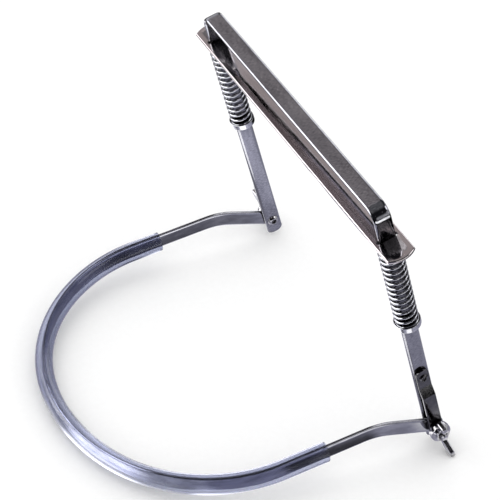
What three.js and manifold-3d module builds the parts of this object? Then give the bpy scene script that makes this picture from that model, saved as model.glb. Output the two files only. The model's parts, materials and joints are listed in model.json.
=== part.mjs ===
// Harmonica holder: a sprung clamp on two arms, hinged to a loop that lies round the neck.
// Millimetres, +Z up, neck side towards -Y. The holder stands on a table on the lower wings of
// its two wing nuts and on the far end of the loop, with the arms leaning over the loop.
import * as THREE from 'three';
import { mergeVertices } from 'three/addons/utils/BufferGeometryUtils.js';
import Module from 'manifold-3d';

// Flat strip, the same stock for the clamp frame and the neck loop
const stripWidth = 9.8;
const stripThickness = 2.1;
const stripRound = 1;

// Clearances
const seatGap = 0.3;
const holePlay = 0.3;
const cutOverrun = 5;

// Clamp frame: the bar on top and the two arms, bent from one strip
const clampSpan = 194.4;
const barHeight = 169.2;
const barBend = 8;
const armOverrun = 9.4;
const armCorner = 2.5;

// Clamp plate that slides on the arms below the bar
const jawOpening = 18.2;
const plateThickness = 2.1;
const plateRim = 1.85;
const plateTab = 14.8;
const plateTabRadius = 12;
const plateOffset = 1;
const plateRound = 0.8;
const slotEndPlay = 1.3;
const slotSidePlay = 0.4;

// Springs, their cups and the pins that hold them up
const springWire = 1.4;
const springPlay = 0.24;
const springPitch = 3.73;
const springEndGap = 0.5;
const cupPlay = 0.35;
const cupWall = 0.8;
const cupDepth = 4;
const cupRound = 0.8;
const pinDiameter = 3;
const pinReach = 3;
const pinHeight = 81.4;
const pinChamfer = 0.4;

// Joggled straps outside the arms, and the rivets that hold their upper ends
const strapWidth = 7.8;
const strapThickness = 1.6;
const strapRound = 0.4;
const strapRivetHeight = 40.6;
const strapHeadLength = 5.8;
const joggleTop = 33.4;
const joggleBottom = 26.7;
const rivetDiameter = 3;
const rivetDepth = 1.3;
const rivetHeadDiameter = 5.8;
const rivetHeadHeight = 1.3;
const rivetSocket = 2.6;
const rivetSocketDepth = 0.8;

// Pivot bolts with a domed socket head inside the arms
const boltDiameter = 4;
const boltHeadDiameter = 7;
const boltHeadHeight = 2.1;
const boltSocket = 3;
const boltSocketDepth = 1.4;
const boltReach = 2.5;
const boltChamfer = 0.6;

// Wing nuts outside the straps
const nutBaseDiameter = 11;
const nutBellyDiameter = 11.8;
const nutBellyHeight = 2.2;
const nutTopDiameter = 8.6;
const nutHeight = 6.4;
const nutRound = 0.7;
const wingReach = 12.8;
const wingHeight = 13;
const wingRootHeight = 1.6;
const wingThickness = 2.9;
const wingTipLength = 6.3;
const wingEndLength = 3.8;
const wingRound = 1.3;
const wingBevel = 0.6;
const wingTurnDegrees = 3.5;

// Neck loop: rises from the pivots, bends level, then runs straight into a rounded nape end
const neckRiseDegrees = 22.8;
const neckRiseLength = 29.3;
const neckBendRadius = 42;
const neckStraightLength = 47.9;
const napeDepth = 88.1;
const armDegrees = 80.3;

// Soft sleeve over the nape end
const sleeveWall = 0.8;
const sleevePlay = 0.6;
const sleeveOvalShare = 0.75;
const sleeveDrop = 0.2;
const sleeveInward = 0.2;
const sleeveStartRight = 22.9;
const sleeveStartLeft = 30.4;

// Counts of facets
const edgeSteps = 2;
const bendSteps = 6;
const strapEndSteps = 4;
const neckBendSteps = 7;
const napeSteps = 40;
const sleeveSides = 16;
const sleeveSteps = 36;
const springSides = 5;
const springSteps = 8;
const roundSteps = 24;
const hexSides = 6;
const plateEndSteps = 8;
const wingTipSteps = 3;
const leanSteps = 40;

// Places that follow from the sizes above
const armOuter = clampSpan / 2;
const armInner = armOuter - stripThickness;
const armMiddle = armOuter - stripThickness / 2;
const neckMiddle = armOuter + seatGap + stripThickness / 2;
const strapInner = armOuter + seatGap + stripThickness + seatGap;
const strapOuter = strapInner + strapThickness;
const nutSeat = strapOuter + seatGap;
const plateTop = barHeight - stripThickness - jawOpening;
const plateUnderside = plateTop - plateThickness;
const plateWidth = stripWidth + 2 * (slotEndPlay + plateRim);
const stripReach = stripRound + Math.hypot(stripWidth / 2 - stripRound, stripThickness / 2 - stripRound);
const springBore = 2 * (stripReach + springPlay);
const springRadius = (springBore + springWire) / 2;
const cupInner = springRadius + springWire / 2 + cupPlay;
const cupBottom = pinHeight + pinDiameter / 2 + seatGap;
const springSeat = cupBottom + cupWall + seatGap;
const springLength = plateUnderside - seatGap - springSeat;

const chrome = (name, grey, roughness) => new THREE.MeshStandardMaterial({
  name,
  color: new THREE.Color(grey, grey, grey * 1.02),
  metalness: 1,
  roughness,
});
const stripChrome = chrome('strip_chrome', 0.55, 0.18);
const plateChrome = chrome('plate_chrome', 0.6, 0.12);
const springSteel = chrome('spring_steel', 0.62, 0.2);
const cupSteel = chrome('cup_steel', 0.6, 0.25);
const strapSteel = chrome('strap_steel', 0.42, 0.2);
const fastenerNickel = chrome('fastener_nickel', 0.68, 0.15);
const sleeveVinyl = new THREE.MeshStandardMaterial({
  name: 'sleeve_vinyl',
  color: new THREE.Color(0.72, 0.74, 0.88),
  metalness: 0,
  roughness: 0.3,
  transparent: true,
  opacity: 0.5,
});

const wasm = await Module();
wasm.setup();

// Solids are joined and cut as manifolds, and given back as plain geometries.
function toSolid(geometry) {
  const bare = geometry.clone();
  bare.deleteAttribute('normal');
  bare.deleteAttribute('uv');
  const merged = mergeVertices(bare);
  return new wasm.Manifold(new wasm.Mesh({
    numProp: 3,
    vertProperties: new Float32Array(merged.getAttribute('position').array),
    triVerts: new Uint32Array(merged.getIndex().array),
  }));
}

function toGeometry(solid) {
  const mesh = solid.getMesh();
  const geometry = new THREE.BufferGeometry();
  geometry.setAttribute('position', new THREE.BufferAttribute(new Float32Array(mesh.vertProperties), 3));
  geometry.setIndex(new THREE.BufferAttribute(new Uint32Array(mesh.triVerts), 1));
  return geometry;
}

function cut(geometry, cutters) {
  return toGeometry(cutters.reduce((solid, cutter) => solid.subtract(toSolid(cutter)), toSolid(geometry)));
}

function join(geometries) {
  return toGeometry(geometries.map(toSolid).reduce((whole, piece) => whole.add(piece)));
}

// A closed mesh from its corner points and triangles, turned so that its faces point out.
function closedMesh(points, triangles) {
  const volume = triangles.reduce((sum, [a, b, c]) => {
    return sum + points[a].dot(new THREE.Vector3().crossVectors(points[b], points[c]));
  }, 0);
  const outward = volume > 0 ? triangles : triangles.map(([a, b, c]) => [a, c, b]);
  const geometry = new THREE.BufferGeometry().setFromPoints(points);
  geometry.setIndex(outward.flat());
  geometry.computeVertexNormals();
  return geometry;
}

// A skin between rings of equal count, with a flat convex cap on the first and the last ring.
function loft(rings) {
  const count = rings[0].length;
  const triangles = [];
  for (let ring = 0; ring + 1 < rings.length; ring += 1) {
    for (let side = 0; side < count; side += 1) {
      const next = (side + 1) % count;
      const low = ring * count;
      const high = low + count;
      triangles.push([low + side, low + next, high + next], [low + side, high + next, high + side]);
    }
  }
  const last = (rings.length - 1) * count;
  for (let side = 1; side + 1 < count; side += 1) {
    triangles.push([0, side + 1, side], [last, last + side, last + side + 1]);
  }
  return closedMesh(rings.flat(), triangles);
}

// A pipe wall between outer and inner rings, open at both ends.
function pipe(outerRings, innerRings) {
  const count = outerRings[0].length;
  const inside = outerRings.length * count;
  const last = (outerRings.length - 1) * count;
  const triangles = [];
  const quad = (a, b, c, d) => triangles.push([a, b, c], [a, c, d]);
  for (let side = 0; side < count; side += 1) {
    const next = (side + 1) % count;
    for (let low = 0; low < last; low += count) {
      const high = low + count;
      quad(low + side, low + next, high + next, high + side);
      quad(inside + low + next, inside + low + side, inside + high + side, inside + high + next);
    }
    quad(next, side, inside + side, inside + next);
    quad(last + side, last + next, inside + last + next, inside + last + side);
  }
  return closedMesh([...outerRings.flat(), ...innerRings.flat()], triangles);
}

// A station on a route: where it is, which way it runs and which way the strip's width points.
function station(at, along, across) {
  return { at, along, across, through: new THREE.Vector3().crossVectors(along, across) };
}

// A rounded rectangle, in shares of half the width and half the thickness plus a corner radius.
function stripSection(halfWidth, halfThickness, round) {
  const corners = [[1, 1], [-1, 1], [-1, -1], [1, -1]];
  return corners.flatMap(([right, up], corner) => {
    return Array.from({ length: edgeSteps + 1 }, (unused, step) => {
      const angle = (Math.PI / 2) * (corner + step / edgeSteps);
      return new THREE.Vector2(
        right * (halfWidth - round) + round * Math.cos(angle),
        up * (halfThickness - round) + round * Math.sin(angle),
      );
    });
  });
}

function placeRing(section, { at, across, through }) {
  return section.map(({ x, y }) => at.clone().addScaledVector(across, x).addScaledVector(through, y));
}

// A flat strip along stations, each with its own half width.
function strip(stations, thickness, round) {
  return loft(stations.map((stop) => placeRing(stripSection(stop.halfWidth, thickness / 2, round), stop)));
}

// How the half width grows from a rounded end: pairs of distance from the end and half width.
function roundedEnd(width, corner, steps) {
  return Array.from({ length: steps + 1 }, (unused, step) => {
    const angle = (Math.PI / 2) * (step / steps);
    return {
      distance: corner * (1 - Math.cos(angle)),
      halfWidth: width / 2 - corner * (1 - Math.sin(angle)),
    };
  });
}

// A round bar along X from one end to the other, for holes and shanks.
function barAlongX(diameter, from, to) {
  const bar = new THREE.CylinderGeometry(diameter / 2, diameter / 2, Math.abs(to - from), roundSteps);
  return bar.rotateZ(Math.PI / 2).translate((from + to) / 2, 0, 0);
}

// A turned part about X: its profile gives the distance along X and the radius.
function turnedAlongX(profile) {
  const points = profile.map(([along, radius]) => new THREE.Vector2(radius, along));
  return new THREE.LatheGeometry(points, roundSteps).rotateZ(-Math.PI / 2);
}

// A quarter round from one profile point to the next, as points between them.
function roundCorner(centreAlong, centreRadius, radius, fromAngle, toAngle) {
  return Array.from({ length: edgeSteps + 1 }, (unused, step) => {
    const angle = fromAngle + (toAngle - fromAngle) * (step / edgeSteps);
    return [centreAlong + radius * Math.cos(angle), centreRadius + radius * Math.sin(angle)];
  });
}

// A hexagon socket cut along X, its mouth at one place and its floor at another.
function hexSocket(acrossFlats, mouth, floor) {
  const radius = acrossFlats / 2 / Math.cos(Math.PI / hexSides);
  const outside = mouth + Math.sign(mouth - floor) * cutOverrun;
  const hexagon = new THREE.CylinderGeometry(radius, radius, Math.abs(outside - floor), hexSides);
  return hexagon.rotateZ(Math.PI / 2).translate((outside + floor) / 2, 0, 0);
}

// The clamp frame runs up the left arm, along the bar and down the right arm. Its stations lie
// on the middle of the strip.
function clampFrame() {
  const bendRadius = barBend - stripThickness / 2;
  const across = new THREE.Vector3(0, 1, 0);
  const end = roundedEnd(stripWidth, armCorner, strapEndSteps);
  const halfWidth = stripWidth / 2;
  const left = end.map((stop) => ({
    ...station(
      new THREE.Vector3(-armMiddle, 0, stop.distance - armOverrun),
      new THREE.Vector3(0, 0, 1),
      across,
    ),
    halfWidth: stop.halfWidth,
  }));
  for (let step = 0; step <= bendSteps; step += 1) {
    const angle = (Math.PI / 2) * (step / bendSteps);
    const at = new THREE.Vector3(
      bendRadius - armMiddle - bendRadius * Math.cos(angle),
      0,
      barHeight - barBend + bendRadius * Math.sin(angle),
    );
    const along = new THREE.Vector3(Math.sin(angle), 0, Math.cos(angle));
    left.push({ ...station(at, along, across), halfWidth });
  }
  const right = left.toReversed().map((stop) => ({
    ...station(
      stop.at.clone().multiply(new THREE.Vector3(-1, 1, 1)),
      stop.along.clone().multiply(new THREE.Vector3(1, 1, -1)),
      across,
    ),
    halfWidth: stop.halfWidth,
  }));
  const holes = [-1, 1].flatMap((side) => [
    barAlongX(boltDiameter + 2 * holePlay, armInner - cutOverrun, armOuter + cutOverrun),
    barAlongX(pinDiameter + 2 * holePlay, armInner - cutOverrun, armOuter + cutOverrun)
      .translate(0, 0, pinHeight),
    barAlongX(rivetDiameter + 2 * holePlay, armOuter - rivetDepth - holePlay, armOuter + cutOverrun)
      .translate(0, 0, strapRivetHeight),
  ].map((hole) => (side > 0 ? hole : hole.rotateZ(Math.PI))));
  return cut(strip([...left, ...right], stripThickness, stripRound), holes);
}

// The plate is longer than the clamp is wide, with round edges. Its ends are arcs, and a slot with
// round ends lets each arm through.
function clampPlate() {
  const halfWidth = plateWidth / 2;
  const tip = armOuter + plateTab;
  const halfArc = Math.asin(halfWidth / plateTabRadius);
  const centre = tip - plateTabRadius;
  const outline = new THREE.Shape();
  outline.absarc(plateOffset + centre, 0, plateTabRadius, -halfArc, halfArc, false);
  outline.absarc(plateOffset - centre, 0, plateTabRadius, Math.PI - halfArc, Math.PI + halfArc, false);
  outline.closePath();
  const plate = new THREE.ExtrudeGeometry(outline, {
    depth: plateThickness - 2 * plateRound,
    bevelEnabled: true,
    bevelThickness: plateRound,
    bevelSize: plateRound,
    bevelOffset: -plateRound,
    bevelSegments: edgeSteps,
    curveSegments: plateEndSteps,
  });
  const slots = [-armMiddle, armMiddle].map((middle) => {
    const slotHalfWidth = stripThickness / 2 + slotSidePlay;
    const reach = stripWidth / 2 + slotEndPlay - slotHalfWidth;
    const slot = new THREE.Shape();
    slot.absarc(middle, reach, slotHalfWidth, 0, Math.PI, false);
    slot.absarc(middle, -reach, slotHalfWidth, Math.PI, 2 * Math.PI, false);
    slot.closePath();
    const cutter = new THREE.ExtrudeGeometry(slot, {
      depth: plateThickness + 2 * cutOverrun,
      bevelEnabled: false,
      curveSegments: plateEndSteps,
    });
    return cutter.translate(0, 0, -plateRound - cutOverrun);
  });
  return cut(plate, slots).translate(0, 0, plateUnderside + plateRound);
}

// The height of the wire's middle above the spring's foot after so many turns: a close turn at
// each end, and an even pitch between.
function springRise(turn, activeTurns) {
  const closePitch = springWire + springEndGap;
  const pitch = (springLength - springWire - 2 * closePitch) / activeTurns;
  const active = Math.min(Math.max(turn - 1, 0), activeTurns);
  return springWire / 2 + closePitch * (turn - active) + pitch * active;
}

// One unbroken wire, whose ends run straight for one wire diameter.
function springStations() {
  const closePitch = springWire + springEndGap;
  const activeTurns = Math.round((springLength - springWire - 2 * closePitch) / springPitch);
  const turns = activeTurns + 2;
  const steps = turns * springSteps;
  const onWire = (step) => {
    const turn = step / springSteps;
    const angle = 2 * Math.PI * turn;
    return new THREE.Vector3(
      springRadius * Math.cos(angle),
      springRadius * Math.sin(angle),
      springRise(turn, activeTurns),
    );
  };
  const stations = [];
  for (let step = 0; step <= steps; step += 1) {
    const at = onWire(step);
    const along = onWire(Math.min(step + 1, steps)).sub(onWire(Math.max(step - 1, 0))).normalize();
    const outward = new THREE.Vector3(at.x, at.y, 0).normalize();
    stations.push(station(at, along, outward.addScaledVector(along, -outward.dot(along)).normalize()));
  }
  const levelled = (stop, direction) => {
    const along = new THREE.Vector3(-stop.at.y, stop.at.x, 0).normalize();
    const across = new THREE.Vector3(stop.at.x, stop.at.y, 0).normalize();
    return [stop.at, stop.at.clone().addScaledVector(along, direction * springWire)]
      .map((at) => station(at, along, across));
  };
  const foot = levelled(stations[0], -1).toReversed();
  const head = levelled(stations.at(-1), 1);
  return [...foot, ...stations.slice(1, -1), ...head];
}

function spring(side) {
  const section = Array.from({ length: springSides }, (unused, corner) => {
    const angle = (2 * Math.PI * corner) / springSides;
    return new THREE.Vector2(Math.cos(angle), Math.sin(angle)).multiplyScalar(springWire / 2);
  });
  const wire = loft(springStations().map((stop) => placeRing(section, stop)));
  return wire.translate(side * armMiddle, 0, springSeat);
}

// The least gap between one turn of wire and the next, measured between points on its middle.
function springLeastGap() {
  const points = springStations().map((stop) => stop.at);
  let least = Infinity;
  points.forEach((point, index) => {
    points.slice(index + springSteps / 2).forEach((other) => {
      least = Math.min(least, point.distanceTo(other) - springWire);
    });
  });
  return least;
}

// The cup is a shallow turned pan with a slot for the arm, and holds the foot of the spring.
function springCup(side) {
  const outer = cupInner + cupWall;
  const profile = [
    [0, 0],
    [outer - cupRound, 0],
    [outer, cupRound],
    [outer, cupDepth],
    [cupInner, cupDepth],
    [cupInner, cupWall],
    [0, cupWall],
  ].map(([radius, height]) => new THREE.Vector2(radius, height));
  const pan = new THREE.LatheGeometry(profile, roundSteps).rotateX(Math.PI / 2);
  const slot = new THREE.BoxGeometry(
    stripThickness + 2 * holePlay,
    stripWidth + 2 * holePlay,
    2 * (cupDepth + cutOverrun),
  );
  return cut(pan, [slot]).translate(side * armMiddle, 0, cupBottom);
}

function stopPin(side) {
  const half = stripThickness / 2 + pinReach;
  const radius = pinDiameter / 2;
  return turnedAlongX([
    [-half, 0],
    [-half, radius - pinChamfer],
    [pinChamfer - half, radius],
    [half - pinChamfer, radius],
    [half, radius - pinChamfer],
    [half, 0],
  ]).translate(side * armMiddle, 0, pinHeight);
}

// The strap lies on the arm at its upper end, steps outwards by the thickness of the neck strip
// and runs on down to the pivot.
function pivotStrap(side) {
  const across = new THREE.Vector3(0, -side, 0);
  const upperMiddle = armOuter + seatGap + strapThickness / 2;
  const lowerMiddle = strapInner + strapThickness / 2;
  const end = roundedEnd(strapWidth, strapWidth / 2 - strapRound, strapEndSteps);
  const foot = end.map((stop) => ({
    x: lowerMiddle,
    z: stop.distance - strapWidth / 2,
    halfWidth: stop.halfWidth,
  }));
  const joggle = [
    { x: lowerMiddle, z: joggleBottom, halfWidth: strapWidth / 2 },
    { x: upperMiddle, z: joggleTop, halfWidth: strapWidth / 2 },
  ];
  const top = strapRivetHeight + strapHeadLength;
  const head = end.toReversed()
    .map((stop) => ({ x: upperMiddle, z: top - stop.distance, halfWidth: stop.halfWidth }));
  const stops = [...foot, ...joggle, ...head];
  const slant = new THREE.Vector3(upperMiddle - lowerMiddle, 0, joggleTop - joggleBottom).normalize();
  const upright = new THREE.Vector3(0, 0, 1);
  const halfway = slant.clone().add(upright).normalize();
  const stations = stops.map((stop) => {
    const along = joggle.includes(stop) ? halfway : upright;
    const turned = new THREE.Vector3(side * along.x, 0, along.z);
    const at = new THREE.Vector3(side * stop.x, 0, stop.z);
    return { ...station(at, turned, across), halfWidth: stop.halfWidth };
  });
  const holes = [
    barAlongX(boltDiameter + 2 * holePlay, strapInner - cutOverrun, strapOuter + cutOverrun),
    barAlongX(rivetDiameter + 2 * holePlay, armOuter - cutOverrun, strapOuter + cutOverrun)
      .translate(0, 0, strapRivetHeight),
  ].map((hole) => (side > 0 ? hole : hole.rotateZ(Math.PI)));
  return cut(strip(stations, strapThickness, strapRound), holes);
}

// A domed head with a hexagon socket and a round shank. The head rises towards +X from its seat
// at zero, and the shank runs the other way.
function domedFastener(sizes) {
  const { diameter, length, chamfer, headDiameter, headHeight, socket, socketDepth } = sizes;
  const sphere = (headDiameter ** 2 / 4 + headHeight ** 2) / (2 * headHeight);
  const half = Math.asin(headDiameter / 2 / sphere);
  const steps = 2 * edgeSteps;
  const dome = Array.from({ length: steps + 1 }, (unused, step) => {
    const angle = half * (1 - step / steps);
    return [headHeight - sphere + sphere * Math.cos(angle), sphere * Math.sin(angle)];
  });
  const body = turnedAlongX([
    [-length, 0],
    [-length, diameter / 2 - chamfer],
    [chamfer - length, diameter / 2],
    [0, diameter / 2],
    ...dome.slice(0, -1),
    [headHeight, 0],
  ]);
  return cut(body, [hexSocket(socket, headHeight, headHeight - socketDepth)]);
}

// The rivet's head lies on the strap, and its shank ends inside the arm.
function strapRivet(side) {
  const seat = armOuter + seatGap + strapThickness + seatGap;
  const rivet = domedFastener({
    diameter: rivetDiameter,
    length: seat - armOuter + rivetDepth,
    chamfer: pinChamfer,
    headDiameter: rivetHeadDiameter,
    headHeight: rivetHeadHeight,
    socket: rivetSocket,
    socketDepth: rivetSocketDepth,
  });
  return rivet.rotateZ(side > 0 ? 0 : Math.PI).translate(side * seat, 0, strapRivetHeight);
}

// The bolt's head lies inside the arm. Its shank goes through arm, neck strip, strap and nut.
function pivotBolt(side) {
  const seat = armInner - seatGap;
  const bolt = domedFastener({
    diameter: boltDiameter,
    length: nutSeat + nutHeight + boltReach - seat,
    chamfer: boltChamfer,
    headDiameter: boltHeadDiameter,
    headHeight: boltHeadHeight,
    socket: boltSocket,
    socketDepth: boltSocketDepth,
  });
  return bolt.rotateZ(side > 0 ? Math.PI : 0).translate(side * seat, 0, 0);
}

// A flat outline through corner points, each with the length by which its corner is rounded.
function outlineThrough(corners) {
  const outline = new THREE.Shape();
  corners.forEach(({ x, y, round }, index) => {
    const corner = new THREE.Vector2(x, y);
    const before = corners.at(index - 1);
    const after = corners[(index + 1) % corners.length];
    const towards = ({ x: endX, y: endY }) => {
      const away = new THREE.Vector2(endX, endY).sub(corner).setLength(round);
      return corner.clone().add(away);
    };
    const from = round ? towards(before) : corner;
    const to = round ? towards(after) : corner;
    if (index === 0) {
      outline.moveTo(from.x, from.y);
    } else {
      outline.lineTo(from.x, from.y);
    }
    if (round) {
      outline.quadraticCurveTo(corner.x, corner.y, to.x, to.y);
    }
  });
  outline.closePath();
  return outline;
}

// The nut is a turned barrel with a bore and two ears that reach out and away from the seat.
function wingNut(side) {
  const base = nutBaseDiameter / 2;
  const belly = nutBellyDiameter / 2;
  const top = nutTopDiameter / 2;
  const bore = boltDiameter / 2 + holePlay;
  const hub = turnedAlongX([
    [0, 0],
    [0, base - nutRound / 2],
    [nutRound / 2, base],
    [nutBellyHeight, belly],
    [(nutBellyHeight + nutHeight) / 2, (2 * belly + base) / 3],
    ...roundCorner(nutHeight - nutRound, top - nutRound, nutRound, Math.PI / 2, 0),
    [nutHeight, 0],
  ]);
  const earOutline = outlineThrough([
    { x: wingRootHeight, y: bore, round: 0 },
    { x: wingRootHeight, y: base - nutRound, round: 0 },
    { x: wingHeight - wingTipLength, y: wingReach, round: wingRound },
    { x: wingHeight, y: wingReach, round: wingRound },
    { x: wingHeight, y: wingReach - wingEndLength, round: wingRound },
    { x: nutHeight, y: top, round: 0 },
    { x: nutHeight - nutRound, y: bore, round: 0 },
  ]);
  const ears = [-1, 1].map((up) => {
    const solid = new THREE.ExtrudeGeometry(earOutline, {
      depth: wingThickness - 2 * wingBevel,
      bevelEnabled: true,
      bevelThickness: wingBevel,
      bevelSize: wingBevel,
      bevelOffset: -wingBevel,
      bevelSegments: 1,
      curveSegments: wingTipSteps,
    });
    const turn = up * (Math.PI / 2) + side * THREE.MathUtils.degToRad(wingTurnDegrees);
    return solid.translate(0, 0, wingBevel - wingThickness / 2).rotateX(turn);
  });
  const drill = barAlongX(2 * bore, -cutOverrun, wingHeight + cutOverrun);
  const nut = cut(join([hub, ...ears]), [drill]);
  return nut.rotateZ(side > 0 ? 0 : Math.PI).translate(side * nutSeat, 0, 0);
}

// The neck route in the loop's own frame: the pivots are on X through zero and the level part of
// the loop is parallel to the X-Y plane. These stations are the right half's, from the pivot on.
const rise = THREE.MathUtils.degToRad(neckRiseDegrees);

function onRise(distance) {
  const along = new THREE.Vector3(0, -Math.cos(rise), Math.sin(rise));
  const across = new THREE.Vector3(0, Math.sin(rise), Math.cos(rise));
  return station(new THREE.Vector3(neckMiddle, 0, 0).addScaledVector(along, distance), along, across);
}

function onBend(slope) {
  const start = onRise(neckRiseLength);
  const at = start.at.clone().add(new THREE.Vector3(
    0,
    -neckBendRadius * (Math.sin(rise) - Math.sin(slope)),
    neckBendRadius * (Math.cos(slope) - Math.cos(rise)),
  ));
  return station(
    at,
    new THREE.Vector3(0, -Math.cos(slope), Math.sin(slope)),
    new THREE.Vector3(0, Math.sin(slope), Math.cos(slope)),
  );
}

function onStraight(distance) {
  const start = onBend(0);
  return station(start.at.clone().addScaledVector(start.along, distance), start.along, start.across);
}

// The nape end is half an ellipse. Its angle runs from zero at the right to half a turn.
function onNape(angle) {
  const start = onStraight(neckStraightLength);
  const at = new THREE.Vector3(
    neckMiddle * Math.cos(angle),
    start.at.y - napeDepth * Math.sin(angle),
    start.at.z,
  );
  const along = new THREE.Vector3(-neckMiddle * Math.sin(angle), -napeDepth * Math.cos(angle), 0);
  return station(at, along.normalize(), start.across);
}

function mirrored(stop) {
  const flip = new THREE.Vector3(-1, 1, 1);
  return {
    ...stop,
    ...station(
      stop.at.clone().multiply(flip),
      stop.along.clone().multiply(flip).negate(),
      stop.across,
    ),
  };
}

function neckStrip() {
  const halfWidth = stripWidth / 2;
  const end = roundedEnd(stripWidth, halfWidth - stripRound, strapEndSteps)
    .map((stop) => ({ ...onRise(stop.distance - halfWidth), halfWidth: stop.halfWidth }));
  const right = [...end];
  for (let step = 0; step <= neckBendSteps; step += 1) {
    right.push({ ...onBend(rise * (1 - step / neckBendSteps)), halfWidth });
  }
  const nape = Array.from({ length: napeSteps + 1 }, (unused, step) => {
    return { ...onNape((Math.PI * step) / napeSteps), halfWidth };
  });
  const left = right.toReversed().map(mirrored);
  const holes = [-1, 1].map((side) => {
    return barAlongX(boltDiameter + 2 * holePlay, side * armInner, side * (strapOuter + cutOverrun));
  });
  return cut(strip([...right, ...nape, ...left], stripThickness, stripRound), holes);
}

function neckSleeve() {
  const stops = [
    onStraight(sleeveStartRight),
    ...Array.from({ length: sleeveSteps + 1 }, (unused, step) => onNape((Math.PI * step) / sleeveSteps)),
    mirrored(onStraight(sleeveStartLeft)),
  ];
  const boreHeight = stripWidth / 2 + sleevePlay;
  const boreWidth = boreHeight * sleeveOvalShare;
  const ring = (wall) => Array.from({ length: sleeveSides }, (unused, corner) => {
    const angle = (2 * Math.PI * corner) / sleeveSides;
    return new THREE.Vector2(
      (boreHeight + wall) * Math.cos(angle) - sleeveDrop,
      (boreWidth + wall) * Math.sin(angle) + sleeveInward,
    );
  });
  return pipe(
    stops.map((stop) => placeRing(ring(sleeveWall), stop)),
    stops.map((stop) => placeRing(ring(0), stop)),
  );
}

function named(name, geometry, material) {
  const mesh = new THREE.Mesh(geometry, material);
  mesh.name = name;
  return mesh;
}

// Both groups have the pivot axis on X through zero. The clamp's arms stand along Z.
const clamp = new THREE.Group();
clamp.add(named('clamp_frame', clampFrame(), stripChrome));
clamp.add(named('clamp_plate', clampPlate(), plateChrome));
for (const [end, side] of [['left', -1], ['right', 1]]) {
  clamp.add(named(`spring_${end}`, spring(side), springSteel));
  clamp.add(named(`spring_cup_${end}`, springCup(side), cupSteel));
  clamp.add(named(`stop_pin_${end}`, stopPin(side), fastenerNickel));
  clamp.add(named(`pivot_strap_${end}`, pivotStrap(side), strapSteel));
  clamp.add(named(`strap_rivet_${end}`, strapRivet(side), strapSteel));
  clamp.add(named(`pivot_bolt_${end}`, pivotBolt(side), fastenerNickel));
  clamp.add(named(`wing_nut_${end}`, wingNut(side), fastenerNickel));
}

const loop = new THREE.Group();
loop.add(named('neck_strip', neckStrip(), stripChrome));
loop.add(named('neck_sleeve', neckSleeve(), sleeveVinyl));
loop.rotation.x = THREE.MathUtils.degToRad(armDegrees - 90);

// The lowest height of a group's corner points when the holder leans by an angle about X.
function lowestPoint(group, lean) {
  const turn = new THREE.Matrix4().makeRotationX(lean);
  const point = new THREE.Vector3();
  let lowest = Infinity;
  group.updateMatrixWorld(true);
  group.traverse((piece) => {
    const corners = piece.geometry?.getAttribute('position');
    for (let index = 0; index < (corners?.count ?? 0); index += 1) {
      point.fromBufferAttribute(corners, index).applyMatrix4(piece.matrixWorld).applyMatrix4(turn);
      lowest = Math.min(lowest, point.z);
    }
  });
  return lowest;
}

// The lean at which the clamp's feet and the loop touch the table together, found by halving.
function restingLean() {
  let low = 0;
  let high = Math.PI / 2;
  for (let step = 0; step < leanSteps; step += 1) {
    const lean = (low + high) / 2;
    if (lowestPoint(loop, lean) > lowestPoint(clamp, lean)) {
      low = lean;
    } else {
      high = lean;
    }
  }
  return low;
}

// The origin is the middle of the bottom of the whole holder's box.
const holder = new THREE.Group();
const lean = restingLean();
holder.add(clamp, loop);
holder.rotation.x = lean;
holder.updateMatrixWorld(true);
const box = new THREE.Box3().setFromObject(holder, true);
const middle = box.getCenter(new THREE.Vector3());
holder.position.set(-middle.x, -middle.y, -box.min.z);

console.log(`lean ${THREE.MathUtils.radToDeg(lean).toFixed(3)} degrees`);
console.log(`pivot at y ${holder.position.y.toFixed(3)}, z ${holder.position.z.toFixed(3)}`);
console.log(`spring gap at least ${springLeastGap().toFixed(3)}`);

export default holder;
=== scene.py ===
"""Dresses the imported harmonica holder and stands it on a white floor.

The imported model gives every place: the pivot line and the arms' direction come from its joints,
and the sizes of the clamp come from its nodes, measured in the arms' own frame. In that frame
the origin is on the pivot line midway between the arms, X runs from the left arm to the right
arm, Z runs up along the arms, and the neck is towards -Y. Lengths there are in millimetres, and
so are the sizes that the classes of pieces hold.
"""

import json
import logging
import math
from dataclasses import dataclass, field
from enum import Enum

import bpy
import numpy as np
from mathutils import Matrix, Vector

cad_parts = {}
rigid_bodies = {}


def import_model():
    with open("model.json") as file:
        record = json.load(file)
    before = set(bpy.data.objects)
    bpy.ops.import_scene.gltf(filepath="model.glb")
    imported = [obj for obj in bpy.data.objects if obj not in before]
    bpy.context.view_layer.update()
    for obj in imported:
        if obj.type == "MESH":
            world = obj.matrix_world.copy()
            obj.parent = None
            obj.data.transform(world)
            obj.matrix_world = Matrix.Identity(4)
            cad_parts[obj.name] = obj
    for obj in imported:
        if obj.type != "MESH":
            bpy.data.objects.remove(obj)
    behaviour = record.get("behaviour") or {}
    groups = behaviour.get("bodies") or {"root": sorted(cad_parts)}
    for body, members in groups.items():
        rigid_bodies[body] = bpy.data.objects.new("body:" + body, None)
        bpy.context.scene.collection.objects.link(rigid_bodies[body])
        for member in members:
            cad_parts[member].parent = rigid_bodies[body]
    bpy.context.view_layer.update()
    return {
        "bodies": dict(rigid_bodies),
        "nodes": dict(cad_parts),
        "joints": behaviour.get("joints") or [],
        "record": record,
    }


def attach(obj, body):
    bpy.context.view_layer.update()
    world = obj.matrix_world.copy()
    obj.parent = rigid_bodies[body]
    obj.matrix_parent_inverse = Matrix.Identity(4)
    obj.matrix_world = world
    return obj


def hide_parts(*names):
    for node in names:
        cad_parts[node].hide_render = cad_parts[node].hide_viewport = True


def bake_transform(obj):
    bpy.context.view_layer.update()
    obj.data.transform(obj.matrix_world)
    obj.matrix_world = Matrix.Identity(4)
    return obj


LOG = logging.getLogger("harmonica_holder")
MM = 0.001
QUARTER = math.pi / 2
RUN_MAP = "run"

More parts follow.
